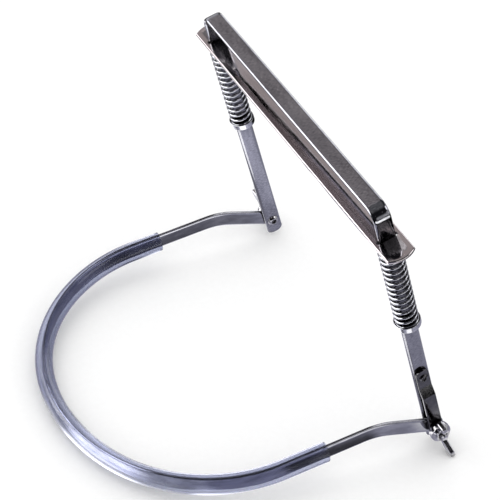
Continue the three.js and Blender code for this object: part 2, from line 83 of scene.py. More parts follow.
# How many points round forms have
TURNED_SIDES = 48
TIP_STOPS = 9
DOME_STOPS = 9

# What sizes, places, colours and profiles are made of
Pair = tuple[float, float]
Triple = tuple[float, float, float]
Profile = list[tuple[float, float | np.ndarray]]


class End(Enum):
    """The two ends of the holder, with the sign of X at each."""

    LEFT = -1
    RIGHT = 1

    def name_of(self, kind: str) -> str:
        """Gives the name of this end's piece of a kind."""
        return f"{kind}_{self.name.lower()}"


class Closing(Enum):
    """How a skin over rings of points is closed at its first and last ring."""

    LIDS = "a flat lid on each"
    LOOP = "joined to each other"


class Marks(Enum):
    """What the marks of a finish follow."""

    RUN = "the run of the piece, by its UV map"
    PLACE = "the place on the piece, by Object coordinates"


@dataclass(frozen=True)
class Extent:
    """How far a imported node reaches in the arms' frame.

    Attributes:
        low: its lowest corner.
        high: its highest corner.
    """

    low: np.ndarray
    high: np.ndarray

    @property
    def size(self) -> np.ndarray:
        """Gives its length in each direction."""
        return self.high - self.low

    @property
    def middle(self) -> np.ndarray:
        """Gives its middle."""
        return (self.high + self.low) / 2

    @property
    def inner(self) -> float:
        """Gives how far its inner face is from the middle of the holder."""
        return min(abs(self.low[0]), abs(self.high[0]))

    @property
    def outer(self) -> float:
        """Gives how far its outer face is from the middle of the holder."""
        return max(abs(self.low[0]), abs(self.high[0]))


@dataclass(frozen=True)
class ArmFrame:
    """The arms' own frame.

    Attributes:
        nodes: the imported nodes' objects by name.
        matrix: turns a point in this frame, in millimetres, into the row frame, in metres.
    """

    nodes: dict[str, bpy.types.Object]
    matrix: Matrix

    @classmethod
    def found_in(cls, frame: dict) -> "ArmFrame":
        """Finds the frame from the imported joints.

        Args:
            frame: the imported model.

        Returns:
            The arms' frame.
        """
        joints = {joint["name"]: joint for joint in frame["joints"]}
        across = Vector(joints["arm_tilt"]["axis"]).normalized()
        up = Vector(joints["plate_slide"]["axis"]).normalized()
        turn = Matrix((across, up.cross(across), up)).transposed().to_4x4()
        pivot = Matrix.Translation(joints["arm_tilt"]["pos_m"])
        return cls(frame["nodes"], pivot @ turn @ Matrix.Scale(MM, 4))

    def to_row(self, points: np.ndarray) -> np.ndarray:
        """Moves points from this frame to the row frame.

        Args:
            points: any array of points in this frame.

        Returns:
            The points in the row frame, in metres, in the same order.
        """
        full = np.array(self.matrix)
        return points @ full[:3, :3].T + full[:3, 3]

    def measure(self, node: str) -> Extent:
        """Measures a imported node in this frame.

        Args:
            node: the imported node's name.

        Returns:
            How far it reaches.
        """
        vertices = self.nodes[node].data.vertices
        flat = np.zeros(3 * len(vertices))
        vertices.foreach_get("co", flat)
        back = np.array(self.matrix.inverted())
        points = flat.reshape(-1, 3) @ back[:3, :3].T + back[:3, 3]
        return Extent(points.min(0), points.max(0))


def unit(vectors: np.ndarray) -> np.ndarray:
    """Scales vectors to length one."""
    return vectors / np.linalg.norm(vectors, axis=-1, keepdims=True)


def full_turn(sides: int) -> np.ndarray:
    """Gives the angles of so many even steps round a circle, from zero."""
    return np.arange(sides) * 2 * math.pi / sides


def run_lengths(points: np.ndarray) -> np.ndarray:
    """Gives the distance run along a line of points at each point."""
    steps = np.linalg.norm(np.diff(points, axis=0), axis=1)
    return np.concatenate([[0.0], np.cumsum(steps)])


@dataclass(frozen=True)
class Stations:
    """Stops along a route, each with the directions in which a section is laid out there.

    Attributes:
        at: the stops.
        across: the directions of the strip's width.
        through: the directions of the strip's thickness.
    """

    at: np.ndarray
    across: np.ndarray
    through: np.ndarray

    @classmethod
    def facing(cls, at: np.ndarray, run: np.ndarray, across: np.ndarray) -> "Stations":
        """Makes stations whose thickness is square to their run and to their width.

        Args:
            at: the stops.
            run: the directions in which the route runs.
            across: the directions of the width, or one for all.

        Returns:
            The stations.
        """
        across = np.broadcast_to(across, at.shape)
        return cls(at, across, np.cross(run, across))

    def __add__(self, other: "Stations") -> "Stations":
        """Runs one route after another."""
        return Stations(*(np.vstack(pair) for pair in zip(self.parts(), other.parts())))

    def parts(self) -> tuple[np.ndarray, np.ndarray, np.ndarray]:
        """Gives the three arrays in order."""
        return self.at, self.across, self.through

    def only(self, which: slice) -> "Stations":
        """Gives some of the stops."""
        return Stations(*(part[which] for part in self.parts()))

    def backwards(self) -> "Stations":
        """Gives the same stops in the other order."""
        return self.only(slice(None, None, -1))

    def turned(self, matrix: np.ndarray) -> "Stations":
        """Turns or mirrors the route by a matrix."""
        return Stations(*(part @ matrix.T for part in self.parts()))

    def spread(self, spacing: float) -> "Stations":
        """Adds stops to long stretches: evenly, on the straight line between their ends.

        Args:
            spacing: the longest distance between stops.

        Returns:
            The route with more stops.
        """
        gaps = np.linalg.norm(np.diff(self.at, axis=0), axis=1)
        cuts = np.maximum(1, np.ceil(gaps / spacing)).astype(int)
        places = [index + np.arange(count) / count for index, count in enumerate(cuts)]
        places = np.concatenate([*places, [len(gaps)]])
        stops = np.arange(len(self.at))
        return Stations(*(
            np.stack([np.interp(places, stops, column) for column in part.T], axis=1)
            for part in self.parts()
        ))

    def with_tips(self, corner: float, half_width: float) -> tuple["Stations", np.ndarray]:
        """Rounds the corners at both ends of a route whose first and last stretches are straight.

        From each end, the half width grows by a quarter circle: at the distance r (1 - cos t) it
        falls short of its full size by r (1 - sin t).

        Args:
            corner: the corners' radius.
            half_width: the strip's half width.

        Returns:
            The route with stops for the ends, and the half width at each stop.
        """
        angle = np.linspace(0, QUARTER, TIP_STOPS)
        distance = corner * (1 - np.cos(angle))
        narrow = half_width - corner * (1 - np.sin(angle))

        def tip(route: Stations) -> Stations:
            """Gives the stops of the tip at the start of a route."""
            at = route.at[0] + distance[:, None] * unit(route.at[1] - route.at[0])
            return Stations(at, *(np.tile(part[0], (len(at), 1)) for part in route.parts()[1:]))

        inner = self.only(slice(1, -1))
        whole = tip(self) + inner + tip(self.backwards()).backwards()
        return whole, np.concatenate([narrow, np.full(len(inner.at), half_width), narrow[::-1]])


def bent_route(corners: list[Pair], radius: float, end: End, steps: int) -> Stations:
    """Gives the route of a strip that is bent in the arms' X-Z plane, with its width along Y.

    Each inner corner becomes an arc that touches both of its straights: a point on it is the
    arc's centre plus the radius times a direction that turns from one straight's to the next's.

    Args:
        corners: the corners of the line as (x, z) pairs, for the right end.
        radius: the bends' radius.
        end: the end that the route is for, mirrored for the left.
        steps: the facets in each bend.

    Returns:
        The route.
    """
    corners = np.array(corners, dtype=float)
    runs = unit(np.diff(corners, axis=0))
    at, run = [corners[:1]], [runs[:1]]
    angles = np.linspace(0, 1, steps + 1)[:, None]
    for corner, before, after in zip(corners[1:-1], runs[:-1], runs[1:]):
        turn = math.acos(np.clip(before @ after, -1, 1))
        side = unit(after - before * (before @ after))
        centre = corner - before * radius * math.tan(turn / 2) + side * radius
        sine, cosine = np.sin(turn * angles), np.cos(turn * angles)
        at.append(centre + radius * (before * sine - side * cosine))
        run.append(before * cosine + side * sine)
    at, run = (np.vstack([*rows, last[-1:]]) for rows, last in ((at, corners), (run, runs)))
    at, run = (
        np.stack([end.value * flat[:, 0], 0 * flat[:, 0], flat[:, 1]], axis=1) for flat in (at, run)
    )
    return Stations.facing(at, run, np.array([0.0, end.value, 0.0]))


def put_in_scene(name: str, data: bpy.types.ID) -> bpy.types.Object:
    """Makes an object of some data and links it to the scene.

    Args:
        name: the object's name.
        data: its mesh, curve, light or camera.

    Returns:
        The new object.
    """
    thing = bpy.data.objects.new(name, data)
    bpy.context.scene.collection.objects.link(thing)
    return thing


def turn_out(piece: bpy.types.Object) -> None:
    """Turns all the faces of a closed mesh outwards, if the volume that they hold is negative.

    Args:
        piece: the mesh object.
    """
    mesh = piece.data
    mesh.calc_loop_triangles()
    corners = np.zeros(3 * len(mesh.vertices))
    mesh.vertices.foreach_get("co", corners)
    triangles = np.zeros(3 * len(mesh.loop_triangles), dtype=np.int32)
    mesh.loop_triangles.foreach_get("vertices", triangles)
    a, b, c = corners.reshape(-1, 3)[triangles.reshape(-1, 3).T]
    if np.einsum("ij,ij->i", a, np.cross(b, c)).sum() < 0:
        mesh.flip_normals()


def skin(
    name: str, rings: np.ndarray, arms: ArmFrame, closing: Closing = Closing.LIDS
) -> bpy.types.Object:
    """Makes a smooth closed skin over rings of points.

    Each face joins two neighbours of a ring to the same two of the next ring, and each ring
    closes on itself.

    Args:
        name: the piece's name.
        rings: an array of rings of points in the arms' frame.
        arms: the arms' frame.
        closing: how the first and the last ring are closed.

    Returns:
        The new mesh object.
    """
    numbers = np.arange(rings.shape[0] * rings.shape[1]).reshape(rings.shape[:2])
    beside = np.roll(numbers, -1, axis=1)
    quads = np.stack(
        [numbers, beside, np.roll(beside, -1, axis=0), np.roll(numbers, -1, axis=0)], axis=2
    )
    if closing is Closing.LIDS:
        lids = [numbers[0, ::-1].tolist(), numbers[-1].tolist()]
        faces = quads[:-1].reshape(-1, 4).tolist() + lids
    else:
        faces = quads.reshape(-1, 4).tolist()
    mesh = bpy.data.meshes.new(name)
    mesh.from_pydata(arms.to_row(rings.reshape(-1, 3)).tolist(), [], faces)
    mesh.validate()
    mesh.shade_smooth()
    piece = put_in_scene(name, mesh)
    turn_out(piece)
    return piece


def mark_uv(piece: bpy.types.Object, along: np.ndarray, around: np.ndarray) -> None:
    """Writes a UV map in millimetres, for marks that follow the metal.

    Args:
        piece: the mesh object, whose points are rings in order.
        along: the distance along the route for each point.
        around: the distance round the section for each point.
    """
    mesh = piece.data
    layer = mesh.uv_layers.new(name=RUN_MAP)
    corner_points = np.zeros(len(mesh.loops), dtype=np.int32)
    mesh.loops.foreach_get("vertex_index", corner_points)
    uv = np.stack([along[corner_points], around[corner_points]], axis=1)
    layer.data.foreach_set("uv", uv.astype(np.float32).ravel())


def sweep(
    name: str, stations: Stations, sections: np.ndarray, arms: ArmFrame
) -> bpy.types.Object:
    """Lays sections along stations and closes both ends.

    A point is its stop plus the section's first number times the stop's direction across, plus
    its second number times the direction through.

    Args:
        name: the piece's name.
        stations: the route.
        sections: one ring of (across, through) pairs for each stop.
        arms: the arms' frame.

    Returns:
        The new mesh object with a UV map.
    """
    at, across, through = (part[:, None] for part in stations.parts())
    piece = skin(name, at + sections[..., :1] * across + sections[..., 1:] * through, arms)
    count, sides = sections.shape[:2]
    around = run_lengths(sections[count // 2])
    mark_uv(piece, np.repeat(run_lengths(stations.at), sides), np.tile(around, count))
    return piece


def rounded_section(
    half_width: np.ndarray, half_thickness: float, edge: float, crown: float, steps: int
) -> np.ndarray:
    """Gives rectangles with quarter ellipses at their corners, one for each half width.

    Args:
        half_width: an array of half widths.
        half_thickness: half the thickness.
        edge: how far the rounding reaches through the thickness.
        crown: how far it reaches across the width.
        steps: the facets in each corner.

    Returns:
        An array of rings of (across, through) pairs.
    """
    angle = np.linspace(0, QUARTER, steps + 1)
    corners = []
    for right, up, start in ((1, 1, 0), (-1, 1, 1), (-1, -1, 2), (1, -1, 3)):
        turn = angle + start * QUARTER
        across = right * (half_width[:, None] - crown) + crown * np.cos(turn)
        through = up * (half_thickness - edge) + edge * np.sin(turn) + 0 * across
        corners.append(np.stack([across, through], axis=2))
    return np.concatenate(corners, axis=1)


def spindle(side: int) -> np.ndarray:
    """Gives the directions along a line across the arms, at angle zero and at a quarter turn."""
    return np.array([(side, 0, 0), (0, 0, 1), (0, 1, 0)])


ARM_SPINDLE = np.array([(0, 0, 1), (1, 0, 0), (0, 1, 0)])


def turned(
    name: str,
    profile: Profile,
    axes: np.ndarray,
    seat: Triple,
    arms: ArmFrame,
    sides: int = TURNED_SIDES,
    closing: Closing = Closing.LIDS,
) -> bpy.types.Object:
    """Makes a turned piece.

    A point is the seat, plus the profile's distance along the line, plus its radius times the
    cosine and the sine of the angle in the two directions square to the line.

    Args:
        name: the piece's name.
        profile: (distance, radius) pairs. A radius may be an array with one for each angle.
        axes: the directions along the line, at angle zero and at a quarter turn.
        seat: where the profile's zero is, in the arms' frame.
        arms: the arms' frame.
        sides: the points round the piece.
        closing: how the profile's first and last ring are closed.

    Returns:
        The new mesh object.
    """
    distance = np.array([pair[0] for pair in profile])[:, None, None]
    radius = np.stack([np.broadcast_to(pair[1], sides) for pair in profile])[..., None]
    angle = full_turn(sides)[:, None]
    outward = np.cos(angle) * axes[1] + np.sin(angle) * axes[2]
    return skin(name, np.array(seat) + distance * axes[0] + radius * outward, arms, closing)


def block(name: str, middle: Triple, half: Triple, arms: ArmFrame) -> bpy.types.Object:
    """Makes a block from its lower and its upper ring of corners.

    Args:
        name: the block's name.
        middle: its middle in the arms' frame.
        half: its half sizes.
        arms: the arms' frame.

    Returns:
        The new mesh object.
    """
    ring = ((-1, -1), (1, -1), (1, 1), (-1, 1))
    corners = np.array([[(x, y, z) for x, y in ring] for z in (-1.0, 1.0)])
    return skin(name, corners * half + middle, arms)


def flat_solid(
    name: str, outline: np.ndarray, half_depth: float, edge: float, steps: int, place: Matrix
) -> bpy.types.Object:
    """Makes a flat solid with rounded edges: its outline, filled, and swelled to its thickness.

    Args:
        name: the piece's name.
        outline: an array of (x, y) points.
        half_depth: half the solid's thickness.
        edge: the radius of its edges.
        steps: the facets across an edge.
        place: turns the solid's own place, in millimetres, into the row frame.

    Returns:
        The new mesh object.
    """
    curve = bpy.data.curves.new(name, "CURVE")
    curve.dimensions = "2D"
    curve.fill_mode = "BOTH"
    curve.extrude = half_depth - edge
    curve.bevel_depth = edge
    curve.bevel_resolution = steps
    curve.offset = -edge
    spline = curve.splines.new("POLY")
    spline.points.add(len(outline) - 1)
    corners = np.hstack([outline, np.zeros((len(outline), 1)), np.ones((len(outline), 1))])
    spline.points.foreach_set("co", corners.ravel())
    spline.use_cyclic_u = True
    maker = put_in_scene(name, curve)
    mesh = bpy.data.meshes.new_from_object(maker)
    bpy.data.objects.remove(maker)
    bpy.data.curves.remove(curve)
    mesh.transform(place)
    mesh.name = name
    mesh.shade_smooth()
    piece = put_in_scene(name, mesh)
    turn_out(piece)
    return piece


def even_shade(piece: bpy.types.Object) -> None:
    """Keeps flat faces flat beside their rounded edges."""
    shade = piece.modifiers.new("even_shade", "WEIGHTED_NORMAL")
    shade.keep_sharp = True


def apply_modifiers(piece: bpy.types.Object) -> None:
    """Makes a piece's modifiers part of its mesh.

    Args:
        piece: the mesh object.
    """
    bpy.context.view_layer.update()
    graph = bpy.context.evaluated_depsgraph_get()
    mesh = bpy.data.meshes.new_from_object(piece.evaluated_get(graph))
    old = piece.data
    piece.modifiers.clear()
    piece.data = mesh
    mesh.name = piece.name
    bpy.data.meshes.remove(old)
    mesh.shade_smooth()


def add_boolean(piece: bpy.types.Object, operation: str, other: bpy.types.Object) -> None:
    """Joins another solid to a piece or takes it out, as a modifier."""
    change = piece.modifiers.new("solid", "BOOLEAN")
    change.operation, change.solver, change.object = operation, "EXACT", other


def cut_out(piece: bpy.types.Object, cutter: bpy.types.Object) -> None:
    """Takes one solid out of another and removes the cutter.

    Args:
        piece: the solid that stays.
        cutter: the solid that is taken out of it.
    """
    add_boolean(piece, "DIFFERENCE", cutter)
    apply_modifiers(piece)
    bpy.data.objects.remove(cutter)


def melt(
    hub: bpy.types.Object, ears: list[bpy.types.Object], voxel: float, melting: int
) -> None:
    """Joins solids into one skin and softens the corners between them, as casting does.

    Args:
        hub: the solid that keeps its name and gets the joined skin.
        ears: the solids that become part of it.
        voxel: the grain of the skin, in metres.
        melting: how many times the skin is smoothed.
    """
    for ear in ears:
        add_boolean(hub, "UNION", ear)
    grain = hub.modifiers.new("skin", "REMESH")
    grain.mode = "VOXEL"
    grain.voxel_size = voxel
    soft = hub.modifiers.new("soft", "SMOOTH")
    soft.iterations = melting
    apply_modifiers(hub)
    for ear in ears:
        bpy.data.objects.remove(ear)


class Tree:
    """A short way to write a node tree.

    Attributes:
        tree: Blender's node tree.
    """

    def __init__(self, owner: bpy.types.ID) -> None:
        """Clears the node tree of a material or a world.

        Args:
            owner: the material or the world.
        """
        owner.use_nodes = True
        self.tree = owner.node_tree
        self.tree.nodes.clear()

    def add(
        self, kind: str, inputs: dict[str | int, object] | None = None, **settings: object
    ) -> bpy.types.Node:
        """Adds a node.

        Args:
            kind: the node's type, without its common start.
            inputs: values or other nodes' outputs, by socket name or number.
            settings: the node's own settings.

        Returns:
            The new node.
        """
        node = self.tree.nodes.new(f"ShaderNode{kind}")
        for key, value in settings.items():
            setattr(node, key, value)
        for key, value in (inputs or {}).items():
            if isinstance(value, bpy.types.NodeSocket):
                self.tree.links.new(value, node.inputs[key])
            else:
                node.inputs[key].default_value = value
        return node

    def place(self, marks: Marks) -> bpy.types.NodeSocket:
        """Gives the coordinates that a finish's marks follow, in millimetres.

        Args:
            marks: what the marks follow.

        Returns:
            The coordinates.
        """
        if marks is Marks.RUN:
            return self.add("UVMap", uv_map=RUN_MAP).outputs[0]
        at = self.add("TexCoord").outputs["Object"]
        return self.add("Mapping", {"Vector": at, "Scale": (1 / MM,) * 3}).outputs[0]

    def noise(
        self, vector: bpy.types.NodeSocket, stretch: Triple, detail: float
    ) -> bpy.types.NodeSocket:
        """Adds noise.

        Args:
            vector: the coordinates.
            stretch: how many grains a unit it has along each direction.
            detail: how many finer layers it has.

        Returns:
            The noise, about 0.5.
        """
        place = self.add("Mapping", {"Vector": vector, "Scale": stretch})
        grain = self.add("TexNoise", {"Vector": place.outputs[0], "Scale": 1.0, "Detail": detail})
        return grain.outputs["Fac"]

    def between(
        self, value: bpy.types.NodeSocket, source: Pair, result: Pair
    ) -> bpy.types.NodeSocket:
        """Turns a value from one range to another, smoothly, and keeps it there.

        Args:
            value: the value.
            source: the range that it comes from.
            result: the range that it goes to.

        Returns:
            The new value.
        """
        ends = dict(zip(("From Min", "From Max", "To Min", "To Max"), (*source, *result)))
        node = self.add("MapRange", {"Value": value, **ends}, interpolation_type="SMOOTHSTEP")
        return node.outputs["Result"]

    def math(
        self,
        operation: str,
        first: bpy.types.NodeSocket | float,
        second: bpy.types.NodeSocket | float,
    ) -> bpy.types.NodeSocket:
        """Joins two values by an operation.

        Args:
            operation: Blender's name for the operation.
            first: the first value.
            second: the second value.

        Returns:
            The new value.
        """
        return self.add("Math", {0: first, 1: second}, operation=operation).outputs[0]

    def mix(
        self,
        share: bpy.types.NodeSocket | float,
        first: bpy.types.NodeSocket | Triple,
        second: bpy.types.NodeSocket | Triple,
        how: str = "MIX",
    ) -> bpy.types.NodeSocket:
        """Mixes two colours.

        Args:
            share: how much of the second there is.
            first: the first colour.
            second: the second colour.
            how: Blender's name for the way in which they mix.

        Returns:
            The new colour.
        """
        first, second = (
            (*colour, 1.0) if isinstance(colour, tuple) else colour for colour in (first, second)
        )
        node = self.add("Mix", {0: share, 6: first, 7: second}, data_type="RGBA", blend_type=how)
        return node.outputs[2]

    def scaled(self, colour: Triple, share: bpy.types.NodeSocket) -> bpy.types.NodeSocket:
        """Scales a colour by a value."""
        return self.add("VectorMath", {0: colour, "Scale": share}, operation="SCALE").outputs[0]

    def two_faced(
        self, kind: str, real: bpy.types.NodeSocket, mirrored: bpy.types.NodeSocket
    ) -> None:
        """Ends a tree that looks one way itself and another way in a mirror.

        A ray has been mirrored where Light Path's Glossy Depth is more than none.

        Args:
            kind: the output node's type.
            real: the shader that the camera and the light see.
            mirrored: the shader that mirrored rays see.
        """
        depth = self.add("LightPath").outputs["Glossy Depth"]
        share = self.math("GREATER_THAN", depth, 0.5)
        both = self.add("MixShader", {0: share, 1: real, 2: mirrored})
        self.add(kind, {"Surface": both.outputs[0]})


@dataclass(frozen=True)
class Look:
    """A finish that is ready to be put on a piece.

    Attributes:
        slot: the record's slot; not used.
        material: Blender's material.
    """

    slot: str
    material: bpy.types.Material


@dataclass(frozen=True)
class Metal:
    """A metal finish: mottled plating with fine scratches, uneven gloss and a faint relief.

    Grain is in marks a millimetre along the run, round the section and through it, or along X,
    Y and Z.

    Attributes:
        name: the material's name.
        slot: the record's slot.
        deep: the colour where the plating is deepest.
        pale: the colour where it is palest.
        gloss: the lowest and the highest roughness.
        grain: the grain of the mottling.
        relief: the height of the marks, in millimetres.
        scratch: how strong the fine scratches are, from 0 to 1.
        painted_shade_left: how much of its colour is left in deep nooks, where shade is painted.
        marks: what its marks follow.
        painted_shade_reach: how far a surface reaches with painted shade, in millimetres.
        painted_shade_range: the openness where the painted shade is darkest, and where it ends.
        cloud: the grain of the slow change in shade.
        cloud_share: how strong that is beside the mottling.
        shade_range: the sums of both that give the deep and the pale colour.
        fine_scale: how much finer the fine marks are than the mottling.
        fine_height: how high they are beside the mottling.
        dull_range: the sums of cloud and fine marks that give the ends of the gloss.
        long_scratch: the grain of the scratches along the run.
        long_peaks: the noise from which such a scratch begins, and where it is full.
        cross_scratch: the grain of the scratches across it.
        cross_peaks: the same for these scratches.
        cross_share: how strong these are beside the long ones.
        scratch_gloss: how much roughness a scratch adds.
        scratch_depth: how deep a scratch is beside the mottling.
    """

    name: str
    slot: str
    deep: Triple
    pale: Triple
    gloss: Pair
    grain: Triple
    relief: float
    scratch: float
    painted_shade_left: float
    marks: Marks = Marks.PLACE
    painted_shade_reach: float = 6.0
    painted_shade_range: Pair = (0.5, 0.95)
    cloud: Triple = (0.03, 0.11, 0.05)
    cloud_share: float = 0.6
    shade_range: Pair = (0.55, 1.05)
    fine_scale: float = 6.0
    fine_height: float = 0.25
    dull_range: Pair = (0.75, 1.25)
    long_scratch: Triple = (0.05, 7.0, 7.0)
    long_peaks: Pair = (0.62, 0.70)
    cross_scratch: Triple = (9.0, 0.12, 3.0)
    cross_peaks: Pair = (0.64, 0.70)
    cross_share: float = 0.8
    scratch_gloss: float = 0.12
    scratch_depth: float = 0.15

    def scratches(self, tree: Tree, place: bpy.types.NodeSocket) -> bpy.types.NodeSocket:
        """Adds fine scratches along and across the run, where two drawn-out noises peak.

        Args:
            tree: the material's tree.
            place: the coordinates.

        Returns:
            How deep the scratches are, from 0 to 1.
        """
        along = tree.noise(place, self.long_scratch, detail=5.0)
        over = tree.noise(place, self.cross_scratch, detail=5.0)
        both = tree.math(
            "MAXIMUM",
            tree.between(along, self.long_peaks, (0.0, 1.0)),
            tree.between(over, self.cross_peaks, (0.0, self.cross_share)),
        )
        return tree.math("MULTIPLY", both, self.scratch)

    def colour(
        self, tree: Tree, mottle: bpy.types.NodeSocket, cloud: bpy.types.NodeSocket
    ) -> bpy.types.NodeSocket:
        """Mixes the plating's two colours, and paints shade into nooks.

        Args:
            tree: the material's tree.
            mottle: the fine mottling.
            cloud: the slow change in shade.

        Returns:
            The colour.
        """
        mottled = tree.math("ADD", mottle, tree.math("MULTIPLY", cloud, self.cloud_share))
        paleness = tree.between(mottled, self.shade_range, (0.0, 1.0))
        plated = tree.mix(paleness, self.deep, self.pale)
        if self.painted_shade_left == 1:
            return plated
        # Painted shade: the colour darkens where ambient occlusion finds surfaces close by.
        reach = {"Distance": self.painted_shade_reach * MM}
        open_air = tree.add("AmbientOcclusion", reach, samples=6).outputs["AO"]
        left = tree.between(open_air, self.painted_shade_range, (self.painted_shade_left, 1.0))
        return tree.mix(1.0, plated, left, "MULTIPLY")

    def look(self) -> Look:
        """Builds the material.

        Returns:
            The finish.
        """
        material = bpy.data.materials.new(self.name)
        tree = Tree(material)
        place = tree.place(self.marks)
        mottle = tree.noise(place, self.grain, detail=4.0)
        cloud = tree.noise(place, self.cloud, detail=2.0)
        fine_grain = tuple(self.fine_scale * value for value in self.grain)
        fine = tree.noise(place, fine_grain, detail=2.0)
        scratches = self.scratches(tree, place)
        dull = tree.between(tree.math("ADD", cloud, fine), self.dull_range, self.gloss)
        dulled = tree.math("MULTIPLY", scratches, self.scratch_gloss)
        grained = tree.math("ADD", mottle, tree.math("MULTIPLY", fine, self.fine_height))
        cut = tree.math("MULTIPLY", scratches, self.scratch_depth)
        height = tree.math("SUBTRACT", grained, cut)
        bump = tree.add("Bump", {"Strength": 1.0, "Distance": self.relief * MM, "Height": height})
        shader = tree.add("BsdfPrincipled", {
            "Base Color": self.colour(tree, mottle, cloud),
            "Metallic": 1.0,
            "Roughness": tree.math("ADD", dull, dulled),
            "Normal": bump.outputs[0],
        })
        tree.add("OutputMaterial", {"Surface": shader.outputs[0]})
        return Look(self.slot, material)


@dataclass(frozen=True)
class Vinyl:
    """Clear, faintly blue and a little hazy vinyl, whose marks follow the run.

    Attributes:
        slot: the record's slot, and the material's name.
        clear: its colour where it is clearest.
        cloudy: its colour where it is cloudiest.
        neck_side_colour: its darker colour on the side towards the neck.
        painted_edge_shade: its colour where it is seen at a slant, as painted shade at its edges.
        gloss: the lowest and the highest roughness.
        gloss_range: the sums of haze and drag marks that give these.
        bend: how strongly it bends light.
        haze: the grain of its haze, in marks a millimetre along and round it.
        drag: the grain of the drag marks.
        drag_share: how much they dull it beside the haze.
        fine: the grain of the fine marks.
        relief: the height of its drag marks, in millimetres.
        haze_height: how high the haze is beside the drag marks.
        fine_height: how high the fine marks are beside them.
        neck_side_share: how much of that colour there is on that side.
        neck_side_reach: how far from the middle of that side it is full, and where it ends.
        slant: how much it darkens at a slant.
        slant_range: the slant from which it darkens, and where it is darkest.
    """

    slot: str = "sleeve_vinyl"
    clear: Triple = (0.68, 0.70, 0.82)
    cloudy: Triple = (0.80, 0.82, 0.91)
    neck_side_colour: Triple = (0.50, 0.52, 0.63)
    painted_edge_shade: Triple = (0.36, 0.37, 0.50)
    gloss: Pair = (0.03, 0.13)
    gloss_range: Pair = (0.6, 1.0)
    bend: float = 1.36
    haze: Triple = (0.08, 0.3, 1.0)
    drag: Triple = (0.04, 2.2, 1.0)
    drag_share: float = 0.5
    fine: Triple = (1.4, 2.0, 1.0)
    relief: float = 0.02
    haze_height: float = 2.0
    fine_height: float = 0.1
    neck_side_share: float = 0.8
    neck_side_reach: Pair = (3.0, 6.5)
    slant: float = 0.5
    slant_range: Pair = (0.55, 0.95)

    def look(self, neck_side: float) -> Look:
        """Builds the material.

        Args:
            neck_side: the distance round the section to the middle of the side by the neck.

        Returns:
            The finish.
        """
        material = bpy.data.materials.new(self.slot)
        tree = Tree(material)
        place = tree.place(Marks.RUN)
        haze = tree.noise(place, self.haze, detail=3.0)
        drag = tree.noise(place, self.drag, detail=4.0)
        fine = tree.noise(place, self.fine, detail=3.0)
        uneven = tree.math("ADD", haze, tree.math("MULTIPLY", drag, self.drag_share))
        around = tree.add("SeparateXYZ", {0: place}).outputs[1]
        from_neck = tree.math("ABSOLUTE", tree.math("SUBTRACT", around, neck_side), 0.0)
        # Darker on the side towards the neck.
        neck_side_share = tree.between(from_neck, self.neck_side_reach, (self.neck_side_share, 0.0))
        toned = tree.mix(neck_side_share, tree.mix(haze, self.clear, self.cloudy), self.neck_side_colour)
        # Painted shade: the tube darkens at its edges, where it is seen at a slant.
        facing = tree.add("LayerWeight", {"Blend": 0.5}).outputs["Facing"]
        slant = tree.between(facing, self.slant_range, (0.0, self.slant))
        drawn = tree.math("ADD", drag, tree.math("MULTIPLY", fine, self.fine_height))
        height = tree.math("ADD", tree.math("MULTIPLY", haze, self.haze_height), drawn)
        bump = tree.add("Bump", {"Strength": 1.0, "Distance": self.relief * MM, "Height": height})
        shader = tree.add("BsdfPrincipled", {
            "Base Color": tree.mix(slant, toned, self.painted_edge_shade),
            "Roughness": tree.between(uneven, self.gloss_range, self.gloss),
            "IOR": self.bend,
            "Transmission Weight": 1.0,
            "Normal": bump.outputs[0],
        })
        tree.add("OutputMaterial", {"Surface": shader.outputs[0]})
        return Look(self.slot, material)


# painted_shade_left sets how dark each finish's painted shade in nooks is.
METALS = (
    Metal(
        "strip_chrome", "strip_chrome", (0.33, 0.33, 0.36), (0.62, 0.62, 0.65), gloss=(0.07, 0.17),
        grain=(2.6, 0.5, 1.0), relief=0.0015, scratch=0.5, painted_shade_left=0.1, marks=Marks.RUN,
    ),
    Metal(
        "neck_chrome", "strip_chrome", (0.40, 0.40, 0.43), (0.60, 0.60, 0.63), gloss=(0.07, 0.15),
        grain=(0.09, 0.25, 1.0), relief=0.0008, scratch=0.5, painted_shade_left=1.0, marks=Marks.RUN,
    ),
    Metal(
        "plate_chrome", "plate_chrome", (0.80, 0.735, 0.73), (0.90, 0.835, 0.83),
        gloss=(0.05, 0.12), grain=(0.05, 0.4, 0.4), relief=0.002, scratch=0.6, painted_shade_left=0.8,
    ),
    Metal(
        "spring_steel", "spring_steel", (0.72, 0.73, 0.77), (0.86, 0.86, 0.89), gloss=(0.06, 0.15),
        grain=(0.25, 1.6, 1.0), relief=0.003, scratch=0.4, painted_shade_left=0.1, marks=Marks.RUN,
    ),
    Metal(
        "cup_steel", "cup_steel", (0.65, 0.65, 0.68), (0.82, 0.82, 0.84), gloss=(0.08, 0.18),
        grain=(0.9, 0.9, 2.5), relief=0.003, scratch=0.5, painted_shade_left=0.1,
    ),
    Metal(
        "strap_steel", "strap_steel", (0.13, 0.13, 0.135), (0.20, 0.195, 0.20), gloss=(0.06, 0.16),
        grain=(0.8, 0.5, 0.5), relief=0.004, scratch=0.5, painted_shade_left=0.25,
    ),
    Metal(
        "fastener_nickel", "fastener_nickel", (0.54, 0.53, 0.54), (0.72, 0.71, 0.73),
        gloss=(0.05, 0.13), grain=(0.7, 0.7, 0.7), relief=0.005, scratch=0.4, painted_shade_left=0.15,
    ),
)


def dress(piece: bpy.types.Object, body: str | None, node: str | None, look: Look) -> None:
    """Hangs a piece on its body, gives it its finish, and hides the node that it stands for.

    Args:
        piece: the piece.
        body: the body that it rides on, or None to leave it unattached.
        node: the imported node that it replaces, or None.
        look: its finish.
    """
    if body:
        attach(piece, body)
    if node:
        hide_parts(node)
    piece.data.materials.clear()
    piece.data.materials.append(look.material)


